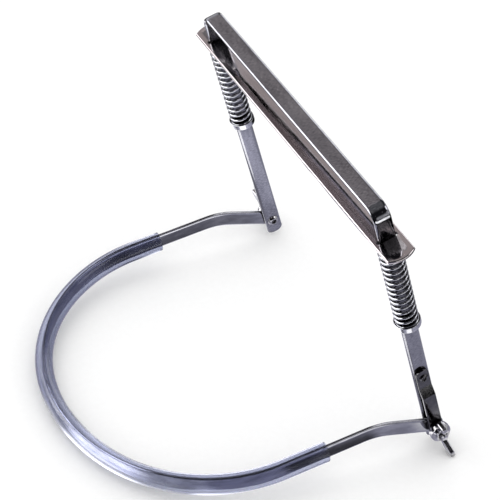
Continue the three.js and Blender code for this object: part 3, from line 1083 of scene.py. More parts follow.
@dataclass
class SubAssembly:
    """What every sub-assembly is made from, in millimetres.

    Attributes:
        arms: the arms' frame.
        looks: the metal finishes by name.
        width: the width of the strip that the frame and the neck loop are bent from.
        thickness: its thickness.
        edge: how far its rounded edges reach through its thickness.
        crown: how far they reach across its width.
        edge_steps: the facets in each rounded edge.
        gap: the play between an arm and what sits against it.
        bent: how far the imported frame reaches.
        half_width: half the width of its strip, as packed.
        arm_middle: how far the middle of an arm's strip is from the middle of the holder.
    """

    arms: ArmFrame
    looks: dict[str, Look]
    width: float = 9.8
    thickness: float = 2.1
    edge: float = 1.0
    crown: float = 2.1
    edge_steps: int = 8
    gap: float = 0.3
    bent: Extent = field(init=False)
    half_width: float = field(init=False)
    arm_middle: float = field(init=False)

    def __post_init__(self) -> None:
        """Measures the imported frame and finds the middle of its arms."""
        self.bent = self.arms.measure("clamp_frame")
        self.half_width = self.bent.high[1]
        self.arm_middle = self.bent.outer - self.thickness / 2

    def strip_along(self, name: str, route: Stations, corner: float) -> bpy.types.Object:
        """Lays the strip along a route: a crowned section whose tips narrow in a quarter circle.

        Args:
            name: the piece's name.
            route: the route.
            corner: the radius of the corners at its ends.

        Returns:
            The new mesh object.
        """
        route, widths = route.with_tips(corner, self.half_width)
        edges = (self.edge, self.crown, self.edge_steps)
        section = rounded_section(widths, self.thickness / 2, *edges)
        piece = sweep(name, route, section, self.arms)
        even_shade(piece)
        return piece


@dataclass
class Clamp(SubAssembly):
    """The frame, plate, springs, cups and pins, in millimetres.

    Attributes:
        bar_bend: the outer radius of the bends between bar and arms.
        bar_steps: the facets in each of them.
        arm_corner: the radius of the arms' lower corners.
        plate_end: the radius of the plate's arc ends.
        plate_end_stops: the points along each of them.
        plate_edge: the radius of its edges.
        plate_edge_steps: the facets across an edge.
        slot_end_play: the play between an arm and the ends of its slot in the plate.
        slot_side_play: the play at the slot's sides.
        slot_end_stops: the points round each end of a slot.
        wire: the springs' wire.
        spring_pitch: the distance from turn to turn, before it is fitted to whole turns.
        spring_end_gap: the gap beside the end turns.
        wire_sides: the facets round the wire.
        turn_steps: the stops in each turn of a spring.
        cup_wall: the cups' wall.
        cup_trim: how much slimmer a cup is than its node, all round.
        cup_round: the radius round its foot.
        cup_edge: the bevel inside, at its floor.
        cup_sides: the points round a cup.
        cup_round_stops: the points along the round at its foot.
        cup_rim_stops: the points over its rim.
        pin_dome: the height of the pins' domed ends.
        pin_flat: the flat at a dome's top, as a share of the pin's radius.
        pin_sides: the points round a pin.
        pin_dome_stops: the points over a dome.
    """

    bar_bend: float = 8.0
    bar_steps: int = 16
    arm_corner: float = 2.5
    plate_end: float = 12.0
    plate_end_stops: int = 25
    plate_edge: float = 0.8
    plate_edge_steps: int = 4
    slot_end_play: float = 1.3
    slot_side_play: float = 0.4
    slot_end_stops: int = 13
    wire: float = 1.4
    spring_pitch: float = 3.73
    spring_end_gap: float = 0.5
    wire_sides: int = 12
    turn_steps: int = 40
    cup_wall: float = 0.65
    cup_trim: float = 0.45
    cup_round: float = 0.8
    cup_edge: float = 0.25
    cup_sides: int = 72
    cup_round_stops: int = 6
    cup_rim_stops: int = 7
    pin_dome: float = 0.7
    pin_flat: float = 0.05
    pin_sides: int = 32
    pin_dome_stops: int = 7

    def frame(self) -> bpy.types.Object:
        """Bends the strip into the arms and the bar: an upright U with rounded corners.

        Returns:
            The new piece.
        """
        half = self.thickness / 2
        x, foot, top = self.arm_middle, self.bent.low[2], self.bent.high[2] - half
        corners = [(-x, foot), (-x, top), (x, top), (x, foot)]
        route = bent_route(corners, self.bar_bend - half, End.RIGHT, self.bar_steps)
        piece = self.strip_along("frame_strip", route, self.arm_corner)
        dress(piece, "clamp", "clamp_frame", self.looks["strip_chrome"])
        return piece

    def slot_outline(self) -> np.ndarray:
        """Gives a slot's outline: two half circles about its ends, joined by straights.

        Returns:
            An array of (x, y) points about the slot's middle.
        """
        half = self.thickness / 2 + self.slot_side_play
        reach = self.half_width + self.slot_end_play - half
        bow = np.linspace(0, math.pi, self.slot_end_stops)
        upper = np.stack([half * np.cos(bow), reach + half * np.sin(bow)], axis=1)
        return np.vstack([upper, -upper])

    def plate(self) -> bpy.types.Object:
        """Cuts the plate with its two arc ends, struck from its middle line, and its two slots.

        Returns:
            The new piece.
        """
        node = self.arms.measure("clamp_plate")
        half_length, half_width, half = node.size / 2
        arc = math.asin(half_width / self.plate_end)
        turn = np.linspace(-arc, arc, self.plate_end_stops)
        right = self.plate_end * np.stack([np.cos(turn), np.sin(turn)], axis=1)
        right += [half_length - self.plate_end, 0]
        outline = np.vstack([right, -right]) + [node.middle[0], 0]
        place = self.arms.matrix @ Matrix.Translation((0, 0, node.middle[2]))
        edges = (self.plate_edge, self.plate_edge_steps)
        piece = flat_solid("jaw_plate", outline, half, *edges, place)
        for x in (-self.arm_middle, self.arm_middle):
            cutter = flat_solid("slot", self.slot_outline() + [x, 0], 2 * half, 0, 0, place)
            cut_out(piece, cutter)
        even_shade(piece)
        dress(piece, "plate", "clamp_plate", self.looks["plate_chrome"])
        return piece

    def spring(self, end: End) -> bpy.types.Object:
        """Winds a spring: a helix whose end turns lie close, and whose pitch fits whole turns.

        The height grows by the wire and a small gap over the first and the last turn, and by the
        pitch over each turn between them, while the wire's middle goes round the arm.

        Args:
            end: the end of the holder.

        Returns:
            The new piece.
        """
        name = end.name_of("spring")
        node = self.arms.measure(name)
        x = end.value * self.arm_middle
        close = self.wire + self.spring_end_gap
        open_length = node.size[2] - self.wire - 2 * close
        active = round(open_length / self.spring_pitch)
        turn = np.arange((active + 2) * self.turn_steps + 1) / self.turn_steps
        stretch = np.clip(turn - 1, 0, active)
        height = node.low[2] + self.wire / 2 + close * (turn - stretch)
        height = height + open_length / active * stretch
        angle = 2 * math.pi * turn
        outward = np.stack([np.cos(angle), np.sin(angle), 0 * angle], axis=1)
        at = (node.size[0] - self.wire) / 2 * outward + [x, 0, 0]
        at[:, 2] = height
        along = unit(np.gradient(at, axis=0))
        up = unit(np.cross(outward, along))
        round_wire = full_turn(self.wire_sides)
        ring = np.stack([np.cos(round_wire), np.sin(round_wire)], axis=1) * self.wire / 2
        piece = sweep(
            end.name_of("coil"),
            Stations(at, np.cross(along, up), up),
            np.tile(ring, (len(at), 1, 1)),
            self.arms,
        )
        start = self.arms.to_row(np.array([x, 0, node.low[2]]))
        finish = self.arms.to_row(np.array([x, 0, node.high[2]]))
        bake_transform(piece)
        dress(piece, None, name, self.looks["spring_steel"])
        return piece

    def cup(self, end: End) -> bpy.types.Object:
        """Turns the pan that holds a spring's foot, and cuts the arm's slot through it.

        Its profile runs from the foot over a quarter circle up the wall, over a half circle at
        the rim, down to a small bevel and along the floor.

        Args:
            end: the end of the holder.

        Returns:
            The new piece.
        """
        name = end.name_of("spring_cup")
        node = self.arms.measure(name)
        x, low, high = end.value * self.arm_middle, node.low[2], node.high[2]
        outer = node.size[1] / 2 - self.cup_trim
        inner, floor, rim = outer - self.cup_wall, low + self.cup_wall, self.cup_wall / 2
        foot = outer - self.cup_round
        profile = [
            (low + self.cup_round * (1 - math.cos(turn)), foot + self.cup_round * math.sin(turn))
            for turn in np.linspace(0, QUARTER, self.cup_round_stops)
        ]
        profile += [
            (high - rim + rim * math.sin(turn), outer - rim + rim * math.cos(turn))
            for turn in np.linspace(0, math.pi, self.cup_rim_stops)
        ]
        profile += [(floor + self.cup_edge, inner), (floor, inner - self.cup_edge)]
        name_of_cup, seat = end.name_of("cup"), (x, 0, 0)
        piece = turned(name_of_cup, profile, ARM_SPINDLE, seat, self.arms, self.cup_sides)
        half = (self.thickness / 2 + self.gap, self.half_width + self.gap, high - low)
        cut_out(piece, block("cup_slot", (x, 0, low), half, self.arms))
        even_shade(piece)
        dress(piece, "clamp", name, self.looks["cup_steel"])
        return piece

    def pin(self, end: End) -> bpy.types.Object:
        """Turns the cross pin below a cup, whose ends are quarter ellipses in profile.

        Args:
            end: the end of the holder.

        Returns:
            The new piece.
        """
        name = end.name_of("stop_pin")
        node = self.arms.measure(name)
        half, _, radius = node.size / 2
        dome = np.linspace(0, QUARTER, self.pin_dome_stops)[1:]
        right = [(half, self.pin_flat * radius)]
        right += [(half - self.pin_dome * (1 - math.cos(a)), radius * math.sin(a)) for a in dome]
        profile = [(-along, reach) for along, reach in right] + right[::-1]
        seat = (end.value * self.arm_middle, 0, node.middle[2])
        axes = spindle(end.value)
        piece = turned(end.name_of("pin"), profile, axes, seat, self.arms, self.pin_sides)
        dress(piece, "clamp", name, self.looks["fastener_nickel"])
        return piece


@dataclass(frozen=True)
class SocketHead:
    """A domed head on a shank, with a hexagon socket, in millimetres.

    Attributes:
        shank: the shank's diameter.
        height: the head's height.
        socket: the socket's width across flats.
        depth: its depth.
        rim: the radius where the dome ends, as a share of the socket's corner.
        mouth: the radius of the socket's mouth, as a share of the socket's.
        bevel: the depth of that mouth.
        drill: the depth at the socket's middle, as a share of its depth.
        tip: the radius of the point at the socket's middle.
        foot: the radius of the lid inside a head without a shank.
        flat: the radius of the flat at a shank's end, as a share of its diameter.
    """

    shank: float
    height: float
    socket: float
    depth: float
    rim: float = 1.12
    mouth: float = 1.03
    bevel: float = 0.12
    drill: float = 1.15
    tip: float = 0.2
    foot: float = 0.3
    flat: float = 0.2

    def hexagon(self) -> np.ndarray:
        """Gives the socket's radius at each angle: half its width over the cosine from a flat."""
        sixth = math.pi / 3
        return self.socket / 2 / np.cos(full_turn(TURNED_SIDES) % sixth - sixth / 2)

    def profile(self, width: float, length: float) -> Profile:
        """Gives the profile for turning: the shank, a dome that is a cap of a sphere, the socket.

        Args:
            width: the head's diameter.
            length: the shank's length below the head, or 0 where it is another piece.

        Returns:
            Pairs of distance and radius, from the shank's end over the head into the socket.
        """
        reach = width / 2
        sphere = (reach**2 + self.height**2) / (2 * self.height)
        corner = self.socket / 2 / math.cos(math.pi / 6)
        half, rim = math.asin(reach / sphere), math.asin(corner * self.rim / sphere)
        if length:
            flat, radius = self.flat * self.shank, self.shank / 2
            profile = [(-length, flat), (-length, radius), (0, radius)]
        else:
            profile = [(0, self.foot)]
        for turn in np.linspace(half, rim, DOME_STOPS):
            profile.append((self.height - sphere * (1 - math.cos(turn)), sphere * math.sin(turn)))
        mouth = profile[-1][0]
        flats = self.hexagon()
        return profile + [
            (mouth, flats * self.mouth),
            (mouth - self.bevel, flats),
            (mouth - self.depth, flats),
            (mouth - self.depth * self.drill, self.tip),
        ]


@dataclass
class Pivots(SubAssembly):
    """The straps, rivets and bolts beside the arms' feet, in millimetres.

    Attributes:
        strap_thickness: the straps' thickness.
        strap_edge: the radius of their edges.
        strap_edge_steps: the facets in each edge.
        strap_bend: the radius of their bends.
        strap_steps: the facets in each bend.
        joggle_top: the height where a strap leaves its arm.
        joggle_bottom: the height where it runs straight again.
        rivet_head: the rivets' heads and shanks.
        bolt_head: the bolts' heads and shanks.
        thread_pitch: the distance from one turn of the thread to the next.
        thread_depth: its depth.
        thread_steps: the stops along a bolt.
        bolt_end: the radius at a bolt's rounded end, as a share of its radius.
    """

    strap_thickness: float = 1.6
    strap_edge: float = 0.4
    strap_edge_steps: int = 3
    strap_bend: float = 1.8
    strap_steps: int = 6
    joggle_top: float = 33.4
    joggle_bottom: float = 26.7
    rivet_head: SocketHead = SocketHead(shank=3.0, height=1.3, socket=2.6, depth=0.8)
    bolt_head: SocketHead = SocketHead(shank=4.0, height=2.1, socket=3.0, depth=1.4)
    thread_pitch: float = 0.7
    thread_depth: float = 0.3
    thread_steps: int = 160
    bolt_end: float = 0.72

    def strap(self, end: End) -> bpy.types.Object:
        """Bends a strap that steps outwards over the neck strip: two straights and a slope.

        Args:
            end: the end of the holder.

        Returns:
            The new piece.
        """
        name = end.name_of("pivot_strap")
        node = self.arms.measure(name)
        half, half_width = self.strap_thickness / 2, node.high[1]
        upper, lower = self.bent.outer + self.gap + half, node.outer - half
        corners = [
            (lower, -half_width),
            (lower, self.joggle_bottom),
            (upper, self.joggle_top),
            (upper, node.high[2]),
        ]
        route = bent_route(corners, self.strap_bend, end, self.strap_steps)
        route, widths = route.with_tips(half_width - self.strap_edge, half_width)
        edges = (self.strap_edge, self.strap_edge, self.strap_edge_steps)
        section = rounded_section(widths, half, *edges)
        piece = sweep(end.name_of("strap"), route, section, self.arms)
        even_shade(piece)
        dress(piece, "clamp", name, self.looks["strap_steel"])
        return piece

    def rivet(self, end: End) -> bpy.types.Object:
        """Turns a rivet with a domed head and a hexagon socket.

        Args:
            end: the end of the holder.

        Returns:
            The new piece.
        """
        name = end.name_of("strap_rivet")
        node = self.arms.measure(name)
        head = self.rivet_head.height
        profile = self.rivet_head.profile(node.size[2], node.size[0] - head)
        seat = (end.value * (node.outer - head), 0, node.middle[2])
        piece = turned(end.name_of("rivet"), profile, spindle(end.value), seat, self.arms)
        even_shade(piece)
        dress(piece, "clamp", name, self.looks["strap_steel"])
        return piece

    def bolt(self, end: End) -> list[bpy.types.Object]:
        """Turns a pivot bolt: a domed socket head inside the arm, and a threaded shank outside.

        Args:
            end: the end of the holder.

        Returns:
            The head and the shank.
        """
        name = end.name_of("pivot_bolt")
        node = self.arms.measure(name)
        nickel = self.looks["fastener_nickel"]
        height = self.bolt_head.height
        seat = (end.value * (node.inner + height), 0, 0)
        profile = self.bolt_head.profile(node.size[2], 0)
        head = turned(end.name_of("bolt_head"), profile, spindle(-end.value), seat, self.arms)
        even_shade(head)
        dress(head, "clamp", None, nickel)
        shank = self.shank(end, seat, node.size[0] - height)
        dress(shank, "clamp", name, nickel)
        return [head, shank]

    def shank(self, end: End, seat: Triple, length: float) -> bpy.types.Object:
        """Cuts a bolt's shank with a real helical thread and a rounded end.

        The radius falls and rises once over each pitch, and the fall starts later by a share of
        the pitch that grows with the angle. Over the last pitch the groove runs out, and the
        whole radius shrinks along a quarter ellipse.

        Args:
            end: the end of the holder.
            seat: where the shank starts.
            length: its length.

        Returns:
            The new mesh object.
        """
        stops = np.linspace(0, length, self.thread_steps)
        turn = full_turn(TURNED_SIDES) / (2 * math.pi)
        phase = (stops[:, None] / self.thread_pitch + turn) % 1.0
        groove = self.thread_depth * (1 - np.abs(2 * phase - 1))
        left = np.clip((length - stops) / self.thread_pitch, 0.0, 1.0)[:, None]
        taper = self.bolt_end + (1 - self.bolt_end) * np.sqrt(1 - (1 - left) ** 2)
        radius = (self.bolt_head.shank / 2 - groove * left) * taper
        profile = list(zip(stops, radius))
        return turned(end.name_of("bolt_shank"), profile, spindle(end.value), seat, self.arms)


@dataclass
class WingNuts(SubAssembly):
    """The two wing nuts, in millimetres and degrees.

    Attributes:
        base: the hub's diameter at its foot.
        belly: its diameter where it is widest.
        belly_height: the height of that.
        top: its diameter at the top.
        height: its height.
        rim: the radius of its edges.
        bore: the radius of its bore.
        wing_reach: how far an ear reaches from the axis.
        wing_height: how high it reaches.
        wing_root: the height where it leaves the hub.
        wing_thickness: its thickness.
        wing_tip: the length of its outer side.
        wing_end: the length of its upper side.
        wing_round: the radius of its corners, measured along their sides.
        wing_bevel: the radius of its edges.
        wing_turn: how far the ears are turned from upright, in degrees.
        voxel: the grain of the melted skin.
        melting: how many times the skin is smoothed.
        hub_sides: the points round the hub.
        hub_rim_stops: the points along the round at its top.
        wing_round_stops: the points along each round corner.
        wing_bevel_steps: the facets across an ear's edges.
    """

    base: float = 11.0
    belly: float = 11.8
    belly_height: float = 2.2
    top: float = 8.6
    height: float = 6.4
    rim: float = 0.7
    bore: float = 2.3
    wing_reach: float = 12.8
    wing_height: float = 13.0
    wing_root: float = 1.6
    wing_thickness: float = 2.9
    wing_tip: float = 6.3
    wing_end: float = 3.8
    wing_round: float = 1.3
    wing_bevel: float = 0.6
    wing_turn: float = 3.5
    voxel: float = 0.22
    melting: int = 4
    hub_sides: int = 64
    hub_rim_stops: int = 5
    wing_round_stops: int = 7
    wing_bevel_steps: int = 3

    def hub(self, end: End, seat: Triple) -> bpy.types.Object:
        """Turns the hub: a bellied barrel round the bore, with a quarter circle at its top edge.

        Args:
            end: the end of the holder.
            seat: where its foot is.

        Returns:
            The new mesh object.
        """
        base, belly, top = self.base / 2, self.belly / 2, self.top / 2
        profile = [
            (0, self.bore),
            (0, base - self.rim / 2),
            (self.rim / 2, base),
            (self.belly_height, belly),
            ((self.belly_height + self.height) / 2, (2 * belly + base) / 3),
        ]
        profile += [
            (self.height - self.rim * (1 - math.cos(a)), top - self.rim * (1 - math.sin(a)))
            for a in np.linspace(QUARTER, 0, self.hub_rim_stops)
        ]
        profile.append((self.height, self.bore))
        name, axes = end.name_of("nut"), spindle(end.value)
        return turned(name, profile, axes, seat, self.arms, self.hub_sides, Closing.LOOP)

    def ear_outline(self) -> np.ndarray:
        """Gives an ear's outline, with a parabola at each round corner.

        A point on the parabola lies the same share of the way along both of the corner's sides,
        and then the same share of the way from the one to the other.

        Returns:
            An array of (height, reach) points.
        """
        corners = [
            (self.wing_root, self.bore, 0),
            (self.wing_root, self.base / 2 - self.rim, 0),
            (self.wing_height - self.wing_tip, self.wing_reach, self.wing_round),
            (self.wing_height, self.wing_reach, self.wing_round),
            (self.wing_height, self.wing_reach - self.wing_end, self.wing_round),
            (self.height, self.top / 2, 0),
            (self.height - self.rim, self.bore, 0),
        ]
        points = []
        for index, (x, y, round_by) in enumerate(corners):
            corner = np.array([x, y])
            before, after = (
                corner + unit(np.array(corners[other % len(corners)][:2]) - corner) * round_by
                for other in (index - 1, index + 1)
            )
            share = np.linspace(0, 1, self.wing_round_stops if round_by else 1)[:, None]
            middle = 2 * share * (1 - share) * corner
            points.append((1 - share) ** 2 * before + middle + share**2 * after)
        return np.vstack(points)

    def nut(self, end: End) -> bpy.types.Object:
        """Casts a wing nut: a hub and two ears, melted into each other.

        Args:
            end: the end of the holder.

        Returns:
            The new piece.
        """
        name = end.name_of("wing_nut")
        seat = (end.value * self.arms.measure(name).inner, 0, 0)
        hub = self.hub(end, seat)
        ears = []
        for up in (-1, 1):
            turn = Matrix.Rotation(up * QUARTER + math.radians(self.wing_turn), 4, "X")
            mirror = Matrix.Scale(end.value, 4, (1, 0, 0))
            place = self.arms.matrix @ Matrix.Translation(seat) @ mirror @ turn
            shape = (self.ear_outline(), self.wing_thickness / 2, self.wing_bevel)
            ears.append(flat_solid("ear", *shape, self.wing_bevel_steps, place))
        melt(hub, ears, self.voxel * MM, self.melting)
        dress(hub, end.name_of("nut"), name, self.looks["fastener_nickel"])
        return hub


@dataclass
class NeckLoop(SubAssembly):
    """The humped neck strip and its clear sleeve, in millimetres and degrees.

    In the loop's own frame its plane is level, and the pivot line is X.

    Attributes:
        to_arms: the angle from the arms to the loop's plane.
        rise: the angle at which the strip rises from the pivot.
        rise_length: how far it rises.
        bend: the radius of the bend from the rise to the level.
        bend_stops: the stops in that bend.
        straight: the length of the level straight.
        nape_depth: how far the half ellipse at the nape reaches.
        nape_steps: the facets that the strip has there.
        wall: the sleeve's wall.
        play: the play between sleeve and strip, at the strip's edges.
        oval: how narrow the sleeve is through the strip, as a share of its height.
        drop: how far the sleeve hangs below the strip's middle.
        hang: how much that changes from its ends to its middle.
        inward: how far it lies inwards from the strip.
        starts: where it starts on the right and on the left level straight.
        spacing: the longest distance between its stops.
        drift: how far it wanders sideways.
        waves: how many times it does so.
        phase: where the first of these waves starts, in radians.
        sides: the points round the sleeve.
        sleeve_steps: the facets that it has at the nape.
        vinyl: its finish.
        middle: how far the strip's middle is from the middle of the holder.
        turn: turns the loop's own frame into the arms'.
    """

    to_arms: float = 80.3
    rise: float = 22.8
    rise_length: float = 29.3
    bend: float = 42.0
    bend_stops: int = 17
    straight: float = 47.9
    nape_depth: float = 88.1
    nape_steps: int = 96
    wall: float = 0.8
    play: float = 0.6
    oval: float = 0.75
    drop: float = 0.2
    hang: float = 0.22
    inward: float = 0.2
    starts: Pair = (22.9, 30.4)
    spacing: float = 3.0
    drift: float = 0.5
    waves: float = 2.5
    phase: float = 0.6
    sides: int = 40
    sleeve_steps: int = 160
    vinyl: Vinyl = Vinyl()
    middle: float = field(init=False)
    turn: np.ndarray = field(init=False)

    def __post_init__(self) -> None:
        """Finds the strip's middle, and how the loop's own frame is turned in the arms'."""
        super().__post_init__()
        self.middle = self.bent.outer + self.gap + self.thickness / 2
        tilt = math.radians(self.to_arms - 90)
        cosine, sine = math.cos(tilt), math.sin(tilt)
        self.turn = np.array([[1, 0, 0], [0, cosine, -sine], [0, sine, cosine]])

    def side_route(self, end: End, reach: float) -> Stations:
        """Gives a side of the loop: a straight rise, an arc down to the level, a level straight.

        A point on the arc is its start plus the radius times the change in the slope's sine and
        cosine.

        Args:
            end: the end of the holder. The right side runs from the pivot, the left side to it.
            reach: how far it goes along the level straight.

        Returns:
            The route in the loop's own frame.
        """
        rise = math.radians(self.rise)
        slope = np.concatenate([[rise], np.linspace(rise, 0, self.bend_stops), [0.0]])
        along = np.stack([0 * slope, -np.cos(slope), np.sin(slope)], axis=1)
        across = np.stack([0 * slope, np.sin(slope), np.cos(slope)], axis=1)
        pivot = np.array([self.middle, 0, 0])
        change = across[1:-1] - across[0]
        arc = pivot + self.rise_length * along[0] + self.bend * change
        at = np.vstack([pivot - self.half_width * along[0], arc, arc[-1] + reach * along[-1]])
        route = Stations.facing(at, along, across)
        return route if end is End.RIGHT else route.turned(np.diag([-1, 1, 1])).backwards()

    def nape_route(self, steps: int) -> Stations:
        """Gives the half ellipse at the nape, from the right side to the left, without its ends.

        Args:
            steps: the facets in it.

        Returns:
            The route in the loop's own frame.
        """
        start = self.side_route(End.RIGHT, self.straight).at[-1]
        angle = np.linspace(0, math.pi, steps + 1)[1:-1]
        wide, deep = self.middle, self.nape_depth
        at = np.stack([wide * np.cos(angle), -deep * np.sin(angle), 0 * angle], axis=1)
        run = np.stack([-wide * np.sin(angle), -deep * np.cos(angle), 0 * angle], axis=1)
        return Stations.facing(at + [0, start[1], start[2]], unit(run), np.array([0.0, 0.0, 1.0]))

    def strip(self) -> bpy.types.Object:
        """Bends the strip that goes round the neck.

        Returns:
            The new piece.
        """
        right, left = (self.side_route(end, self.straight) for end in (End.RIGHT, End.LEFT))
        route = (right + self.nape_route(self.nape_steps) + left).turned(self.turn)
        piece = self.strip_along("neck_band", route, self.half_width - self.edge)
        dress(piece, "neck_loop", "neck_strip", self.looks["neck_chrome"])
        return piece

    def sleeve(self) -> bpy.types.Object:
        """Draws the clear sleeve, an oval tube with a wall that hangs on the strip.

        Its outer and its inner skin are ellipses about a point beside the strip's middle, which
        goes down and up once with the cosine of the run, and from side to side with a sine.

        Returns:
            The new piece.
        """
        last, first = slice(-1, None), slice(0, 1)
        route = (
            self.side_route(End.RIGHT, self.starts[0]).only(last)
            + self.side_route(End.RIGHT, self.straight).only(last)
            + self.nape_route(self.sleeve_steps)
            + self.side_route(End.LEFT, self.straight).only(first)
            + self.side_route(End.LEFT, self.starts[1]).only(first)
        ).turned(self.turn).spread(self.spacing)
        lengths = run_lengths(route.at)
        run = (lengths / lengths[-1])[:, None]
        angle = full_turn(self.sides)
        height = self.width / 2 + self.play
        width = height * self.oval
        drift = self.drift * np.sin(2 * math.pi * self.waves * run + self.phase)
        drift = drift * np.sin(math.pi * run)
        drop = self.drop + self.hang * np.cos(2 * math.pi * run)
        skins = []
        for wall in (self.wall, 0.0):
            across = ((height + wall) * np.cos(angle) - drop)[..., None]
            through = ((width + wall) * np.sin(angle) + self.inward + drift)[..., None]
            at, wide, deep = (part[:, None] for part in route.parts())
            skins.append(at + across * wide + through * deep)
        rings = np.concatenate([skins[0], skins[1][::-1]])
        piece = skin("sleeve_tube", rings, self.arms, Closing.LOOP)
        along = np.concatenate([lengths, lengths[::-1]])
        mark_uv(piece, np.repeat(along, self.sides), np.tile(angle * width, len(along)))
        even_shade(piece)
        dress(piece, "neck_loop", "neck_sleeve", self.vinyl.look(width * QUARTER))
        return piece


@dataclass(frozen=True)
class PhotoCamera:
    """The camera at the photograph's viewing angle. Lengths are in metres, angles in degrees.

    Attributes:
        azimuth: the direction in which it stands, from the front.
        elevation: how high it stands.
        roll: how it is turned about its line of sight.
        distance: how far it is from its target.
        target: the point that it looks at.
        lens: its focal length, in millimetres.
        sensor: the width of its sensor, in millimetres.
    """

    azimuth: float = 61.692
    elevation: float = 39.553
    roll: float = 2.834
    distance: float = 1.0835
    target: Triple = (0.007856, 0.018472, 0.090457)
    lens: float = 144.955
    sensor: float = 36.0

    def build(self) -> None:
        """Puts the camera in its place."""
        azimuth, elevation, roll = map(math.radians, (self.azimuth, self.elevation, self.roll))
        away = Vector((
            math.sin(azimuth) * math.cos(elevation),
            -math.cos(azimuth) * math.cos(elevation),
            math.sin(elevation),
        ))
        data = bpy.data.cameras.new("photo_camera")
        data.lens, data.sensor_width = self.lens, self.sensor
        camera = put_in_scene("photo_camera", data)
        camera.location = Vector(self.target) + self.distance * away
        turn = (-away).to_track_quat("-Z", "Y").to_matrix() @ Matrix.Rotation(roll, 3, "Z")
        camera.rotation_euler = turn.to_euler()
        bpy.context.scene.camera = camera


@dataclass(frozen=True)
class PaintedSoftbox:
    """A soft patch of painted reflection in the mirrored room.

    Attributes:
        towards: where it is, as a direction from the holder.
        inner: the cosine of the angle up to which it is full.
        outer: the cosine of the angle at which it ends.
        colour: its light.
    """

    towards: Triple
    inner: float
    outer: float
    colour: Triple


@dataclass(frozen=True)
class PaintedCard:
    """A painted reflection on the mirrored table, pale or dark, shaped like a sheet of card.

    Attributes:
        low: its lowest corner on the floor, in metres.
        high: its highest corner.
        shade: how it looks.
        soft: how wide its edges fade, in metres.
    """

    low: Pair
    high: Pair
    shade: Triple
    soft: float


@dataclass(frozen=True)
class Room:
    """The light round the holder.

    The room lights everything with an even white. Rays that a surface has mirrored see another
    room instead, a dark one with soft patches of light, because the photographed metal mirrors
    such a room while its background is white.

    Attributes:
        light: the strength of the even white.
        dark: the mirrored room without its patches.
        patches: the mirrored patches, painted reflections that only mirrors show.
    """

    light: float = 1.04
    dark: Triple = (0.012, 0.012, 0.015)
    patches: tuple[PaintedSoftbox, ...] = (
        PaintedSoftbox((-0.679, -0.034, 0.733), 0.97, 0.92, (0.27, 0.247, 0.25)),
        PaintedSoftbox((-0.25, -0.942, 0.194), 0.90, 0.80, (3.0, 3.0, 3.05)),
        PaintedSoftbox((0.45, 0.586, 0.671), 0.98, 0.96, (1.8, 1.8, 1.85)),
        PaintedSoftbox((-0.68, -0.586, 0.402), 0.985, 0.965, (2.2, 2.2, 2.3)),
        PaintedSoftbox((-0.68, 0.62, 0.40), 0.966, 0.945, (1.3, 1.3, 1.35)),
        PaintedSoftbox((0.10, 0.99, 0.10), 0.90, 0.70, (0.55, 0.55, 0.58)),
        PaintedSoftbox((0.85, 0.50, 0.10), 0.95, 0.90, (0.40, 0.40, 0.42)),
        PaintedSoftbox((0.00, -0.25, 0.97), 0.92, 0.76, (0.13, 0.13, 0.135)),
        PaintedSoftbox((-0.95, -0.25, 0.05), 0.92, 0.80, (0.60, 0.60, 0.63)),
    )

    def build(self) -> None:
        """Builds the world: an even white, and in mirrors the sum of the dark and the patches."""
        world = bpy.data.worlds.new("room")
        bpy.context.scene.world = world
        tree = Tree(world)
        world.cycles.sampling_method = "NONE"
        towards = tree.add("TexCoord").outputs["Generated"]
        light = tree.add("CombineXYZ", dict(enumerate(self.dark))).outputs[0]
        # Painted reflections: each patch adds light that only mirrored rays see.
        for patch in self.patches:
            sides = {0: towards, 1: unit(np.array(patch.towards))}
            nearness = tree.add("VectorMath", sides, operation="DOT_PRODUCT").outputs["Value"]
            share = tree.between(nearness, (patch.outer, patch.inner), (0.0, 1.0))
            both = {0: light, 1: tree.scaled(patch.colour, share)}
            light = tree.add("VectorMath", both, operation="ADD").outputs[0]
        white = tree.add("Background", {"Color": (1, 1, 1, 1), "Strength": self.light})
        dark = tree.add("Background", {"Color": light, "Strength": 1.0})
        tree.two_faced("OutputWorld", white.outputs[0], dark.outputs[0])


